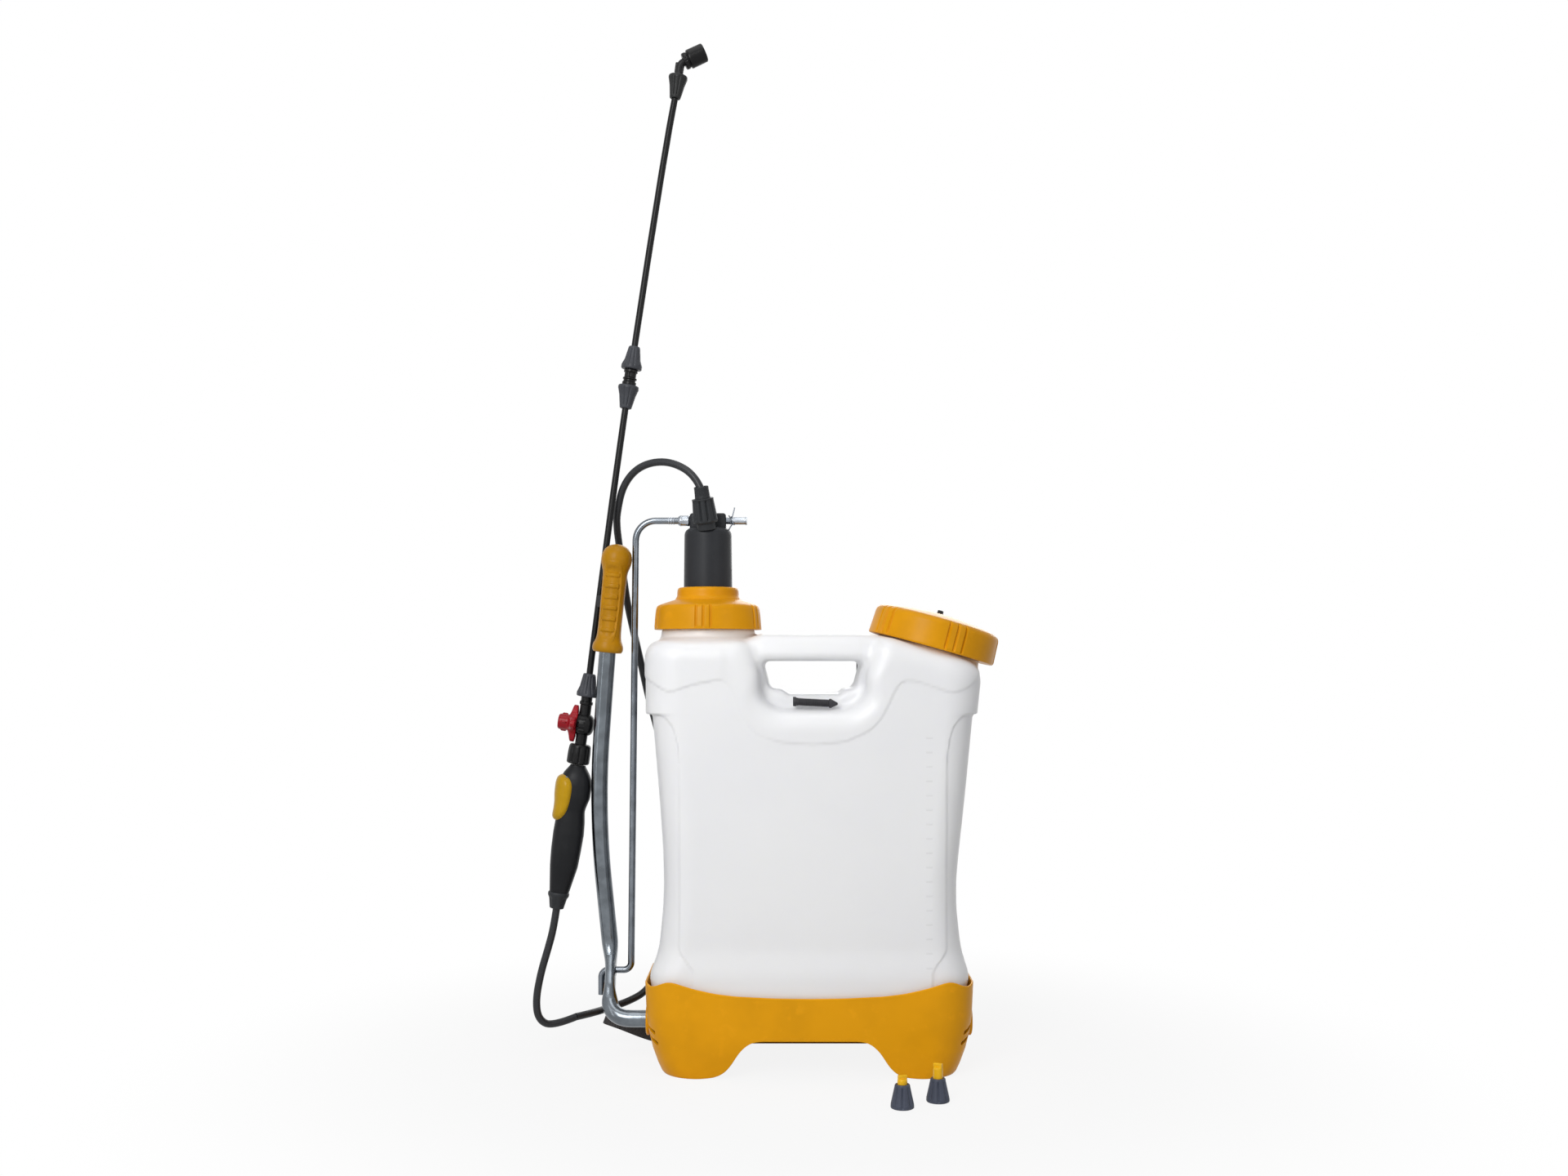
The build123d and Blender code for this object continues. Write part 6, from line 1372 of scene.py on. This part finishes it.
padding = pad_cloth()
edge_weave = weave("edge_weave", (0.022, 0.022, 0.024), (0.060, 0.060, 0.065), 0.0016, 0.75)
for side in (-1, 1):
    at = back_place(side)
    up = np.concatenate([[PAD_FOOT + 0.0035], np.linspace(PAD_FOOT + 0.0045, PAD_TOP - 0.0045, 72),
                         [PAD_TOP - 0.0035]])[:, None]
    around = once_round(44)[None, :]
    c, d = np.cos(around), np.sin(around)
    square = (np.abs(c) ** 4 + np.abs(d) ** 4) ** -0.25
    ends = np.minimum(up - PAD_FOOT - 0.003, PAD_TOP - 0.003 - up) / 0.006
    taper = np.sqrt(1 - np.clip(1 - ends, 0, 1) ** 2) * 0.98 + 0.02
    x = c * square * (PAD_HALF - 0.0022) * (0.9 + 0.1 * taper)
    y = PAD_THICK / 2 + d * square * (PAD_THICK / 2 - 0.0032) * taper
    slim = moulding(f"shoulder_pad_{'left' if side < 0 else 'right'}",
                    [net(np.stack([x, y + 0 * x, up + 0 * x], -1))])
    shape = stuffed(slim)
    middle = shape[:, 1] - PAD_THICK / 2
    shape[:, 1] = PAD_THICK / 2 + np.clip(middle, -PAD_THICK / 2 + 0.0002, PAD_THICK / 2 + 0.002)
    front = ease((shape[:, 1] - PAD_THICK / 2) / 0.003)
    for offset in STITCH_ROWS:
        shape[:, 1] -= 0.0016 * front * np.exp(-((shape[:, 0] - offset) / 0.0022) ** 2)
    slim.data.vertices.foreach_set("co", at(shape).ravel())
    slim.data.update()
    finer = slim.modifiers.new("finer", "SUBSURF")
    finer.levels = 1
    finer.render_levels = 1
    slim.data.shade_smooth()
    fit(slim, padding, "root", "padding", "strap_pads")

    t = once_round(160)
    c, d = np.cos(t), np.sin(t)
    half_up = (PAD_TOP - PAD_FOOT) / 2
    edge_x = np.sign(c) * np.minimum(np.abs(c) * 3.0, 1) * (PAD_HALF - 0.0012)
    edge_z = np.sign(d) * np.minimum(np.abs(d) * 1.02, 1) * (half_up - 0.0012)
    border = np.stack([edge_x, 0 * t + PAD_THICK / 2, edge_z + (PAD_TOP + PAD_FOOT) / 2], -1)
    border = denser(np.concatenate([border, border[:1]]), 0.004)
    ring_of = piped(border, 0.0019, 10, ends=False)
    binding = moulding(f"pad_binding_{'left' if side < 0 else 'right'}", [(at(ring_of[0]), ring_of[1],
                                                                          ring_of[2] * (0.70, 0.012))])
    fit(binding, edge_weave, "root", "webbing")


# Webbing: flat 25 mm polyester webs from the buckles over the base's rim to the lugs on its back. The left
# one's slack end hangs out beside the base in a flat loop.
WEB_HALF = 0.0125
WEB_THICK = 0.0018
webbing = weave("web_weave", (0.020, 0.019, 0.020), (0.070, 0.066, 0.068), 0.0022, 0.72)


def ribbon(line, wide, half, thick):
    """A flat band along a line: wide is the unit direction across it at each point, and its four long edges
    are rounded. Its UV is in metres, along and across."""
    step = np.gradient(line, axis=0)
    step /= np.linalg.norm(step, axis=1)[:, None]
    wide = wide - step * (wide * step).sum(1)[:, None]
    wide /= np.linalg.norm(wide, axis=1)[:, None]
    face = np.cross(step, wide)
    r = thick / 2
    bend = np.radians(np.arange(-90, 91, 30))
    across = np.concatenate([half - r + r * np.cos(bend), r - half - r * np.cos(bend)])
    lift = np.concatenate([r * np.sin(bend), -r * np.sin(bend)])
    section = line[:, None] + across[None, :, None] * wide[:, None] + lift[None, :, None] * face[:, None]
    first = np.broadcast_to(line[:1, None], section[:1].shape)
    last = np.broadcast_to(line[-1:, None], section[:1].shape)
    points, quads, uv = net(np.concatenate([first, section, last]))
    length = np.linalg.norm(np.diff(line, axis=0), axis=1).sum()
    return points, quads, uv * (length, 4 * half)


webs = []
for side in (-1, 1):
    y_buckle = float(back_place(side)(np.array([0, PAD_THICK / 2, 0]))[1])
    fall = np.array([(side * PAD_X, y_buckle + 0.0010, 0.1800), (side * PAD_X, y_buckle + 0.0016, 0.1660),
                     (side * PAD_X, y_buckle, 0.1520), (side * PAD_X, y_buckle + 0.001, 0.1400),
                     (side * PAD_X, 0.0935, 0.1140), (side * PAD_X, 0.0935, 0.0303)])
    fall = denser(eased(fall, (0.004, 0.006, 0.012, 0.014), 8), 0.003)
    webs.append(ribbon(fall, np.tile((1.0, 0.0, 0.0), (len(fall), 1)), WEB_HALF, WEB_THICK))
strap_webs = moulding("strap_webbing", webs)
fit(strap_webs, webbing, "root", "webbing", "strap_webs")

ROOT = -0.1665
REACH = 0.084
tilt = math.radians(19.0)
loop_line = np.array([(ROOT, 0.077, 0), (ROOT - 0.5 * REACH, 0.079, 0.0012), (ROOT - REACH, 0.077, 0.0),
                      (ROOT - REACH - 0.006, 0.063, 0), (ROOT - 0.5 * REACH, 0.059, -0.001),
                      (ROOT, 0.066, 0)])
loop_line = denser(eased(loop_line, (0.03, 0.006, 0.006, 0.03), 12), 0.002)
out = (ROOT - loop_line[:, 0])[:, None]
sway = np.sin(out[:, 0] / REACH * 2 * math.pi)
across = np.stack([0.10 * sway, 0.18 * sway, 1 + 0 * sway], -1)
turn = np.array([[math.cos(tilt), 0, math.sin(tilt)], [0, 1, 0], [-math.sin(tilt), 0, math.cos(tilt)]])
hub = np.array([ROOT, 0, 0.0105])
loop_line = (loop_line - (ROOT, 0, 0)) @ turn.T + hub
slack = ribbon(loop_line, across @ turn.T, 0.0100, WEB_THICK)
strap_loop = moulding("webbing_loop", [slack])
fit(strap_loop, webbing, "root", "webbing", "strap_loop")


# Ladder buckles: moulded frames with rounded bars that grip the webbing below each pad.
BUCKLE = (0.036, 0.029, 0.005)
BUCKLE_Z = PAD_FOOT - BUCKLE[1] / 2
frames = []
for side in (-1, 1):
    at = back_place(side)
    x, z = BUCKLE[0] / 2 - 0.0025, BUCKLE[1] / 2 - 0.0022
    t = once_round(96)
    reach = (np.abs(np.cos(t)) ** 7 + np.abs(np.sin(t)) ** 7) ** (-1 / 7)
    rim_line = np.stack([np.cos(t) * reach * x, 0 * t + PAD_THICK / 2, BUCKLE_Z + np.sin(t) * reach * z], -1)
    rim_line = np.concatenate([rim_line, rim_line[:1]])
    lines = [(rim_line, 0.0024, False)]
    for lift in (-0.0048, 0.0048):
        bar = np.stack([np.linspace(-x, x, 12), np.full(12, PAD_THICK / 2), np.full(12, BUCKLE_Z + lift)], -1)
        lines.append((bar, 0.0020, True))
    for line, radius, ends in lines:
        places, quads, uv = piped(line, radius, 14, ends=ends)
        frames.append((at(places), quads, uv))
buckles = moulding("ladder_buckles", frames)
fit(buckles, black_trim, "root", "slate_plastic", "strap_buckles")


# Loose parts: a spare filter lies in the pocket under the carrying slot, and two spare nozzles, fluted slate
# nuts with yellow fan tips, stand on the floor in front of the right foot.
FILTER_AT = (-0.0150, -0.0640, 0.42955)
barrel = [(0, -0.0040), (0.0052, -0.0040), (0.0055, -0.0034), (0.0055, -0.0006), (0.0045, 0.0002)]
for k in range(21):
    z = 0.0016 + 0.0017 * k
    barrel += [(0.0046, z), (0.0046, z + 0.0006), (0.0039, z + 0.0008), (0.0039, z + 0.0014)]
barrel += [(0.0046, 0.0378), (0.0053, 0.0382), (0.0053, 0.0405), (0.0046, 0.0412), (0.0014, 0.0476),
           (0, 0.0482)]
lean = math.radians(3.0)
across_slot = np.array([[0, 0, math.cos(lean)], [0, 1, 0], [-1, 0, -math.sin(lean)]])
filter_black = moulded("filter_black", (0.040, 0.039, 0.044), 0.40, 0.12, grain=0.6, scale=60.0)
spare = moulding("spare_gun_filter", [turned(np.array(barrel), lambda p: p @ across_slot.T
                                             + np.array(FILTER_AT) + (0, 0, 0.0030), 48)])
fit(spare, filter_black, "spare_filter", "slate_plastic", "spare_filter")

tip_yellow = moulded("tip_yellow", (0.87, 0.48, 0.004), 0.30, 0.05, grain=0.4, scale=60.0, coat=0.2)
nozzle_slate = moulded("nozzle_slate", (0.066, 0.076, 0.108), 0.42, 0.10, grain=0.8, scale=40.0)
for mark, x, y, tall, spin in (("a", 0.0976, -0.1970, 0.0095, 0.3), ("b", 0.1382, -0.1727, 0.0160, -0.5)):
    at = leaning((x, y, 0), 0)
    cone = denser(eased([(0, 0.0002), (0.0118, 0.0002), (0.0129, 0.0012), (0.0129, 0.0040), (0.0104, 0.0150),
                         (0.0082, 0.0250), (0.0074, 0.0260), (0.0058, 0.0260), (0.0056, 0.0180)], 0.0008),
                  0.0009)
    nut = moulding(f"loose_nut_{mark}", [turned(cone, at, 120, flutes(8, 0.0010, 0.0240, 0.0014, 5, 0.4))],
                   closed=False)
    fit(nut, nozzle_slate, f"spare_nozzle_{mark}", "slate_plastic", f"spare_nozzle_nut_{mark}")
    top = 0.0260 + tall
    blade = np.array([[math.cos(spin), -math.sin(spin), 0], [math.sin(spin), math.cos(spin), 0], [0, 0, 1]])
    stem = denser(eased([(0, 0.0165), (0.0053, 0.0165), (0.0054, top - 0.0062), (0.0050, top - 0.0046),
                         (0.0040, top - 0.0040), (0, top - 0.0040)], 0.0005), 0.0010)
    wing = box_round((0, 0, top - 0.0034), (0.0050, 0.0021, 0.0034), 0.0009)
    tip = moulding(f"loose_tip_{mark}", [turned(stem, at, 64), (at(wing[0] @ blade.T), wing[1], wing[2])])
    fit(tip, tip_yellow, f"spare_nozzle_{mark}", "tip_plastic", f"spare_nozzle_tip_{mark}")


# Inside the tank: the pump's barrel, rod, piston and foot valve with its ball, the strainer, the filler
# basket and the seals show only with the caps off. They keep their solids and take plain moulded finishes.
seal_rubber = moulded("seal_rubber", (0.030, 0.030, 0.031), 0.62, 0.10, grain=0.8, scale=30.0)
basket_yellow = moulded("basket_yellow", (0.78, 0.40, 0.02), 0.42, 0.06, grain=0.5, scale=20.0)
refinish(slate_bell, "slate_plastic", "pump_body", "piston_rod", "piston", "foot_valve", "suction_strainer")
refinish(basket_yellow, "yellow_plastic", "filler_basket")
refinish(seal_rubber, "seal_rubber", "pump_gasket", "piston_seal", "lid_gasket")
refinish(zinc_bright, "zinc_steel", "inlet_ball")
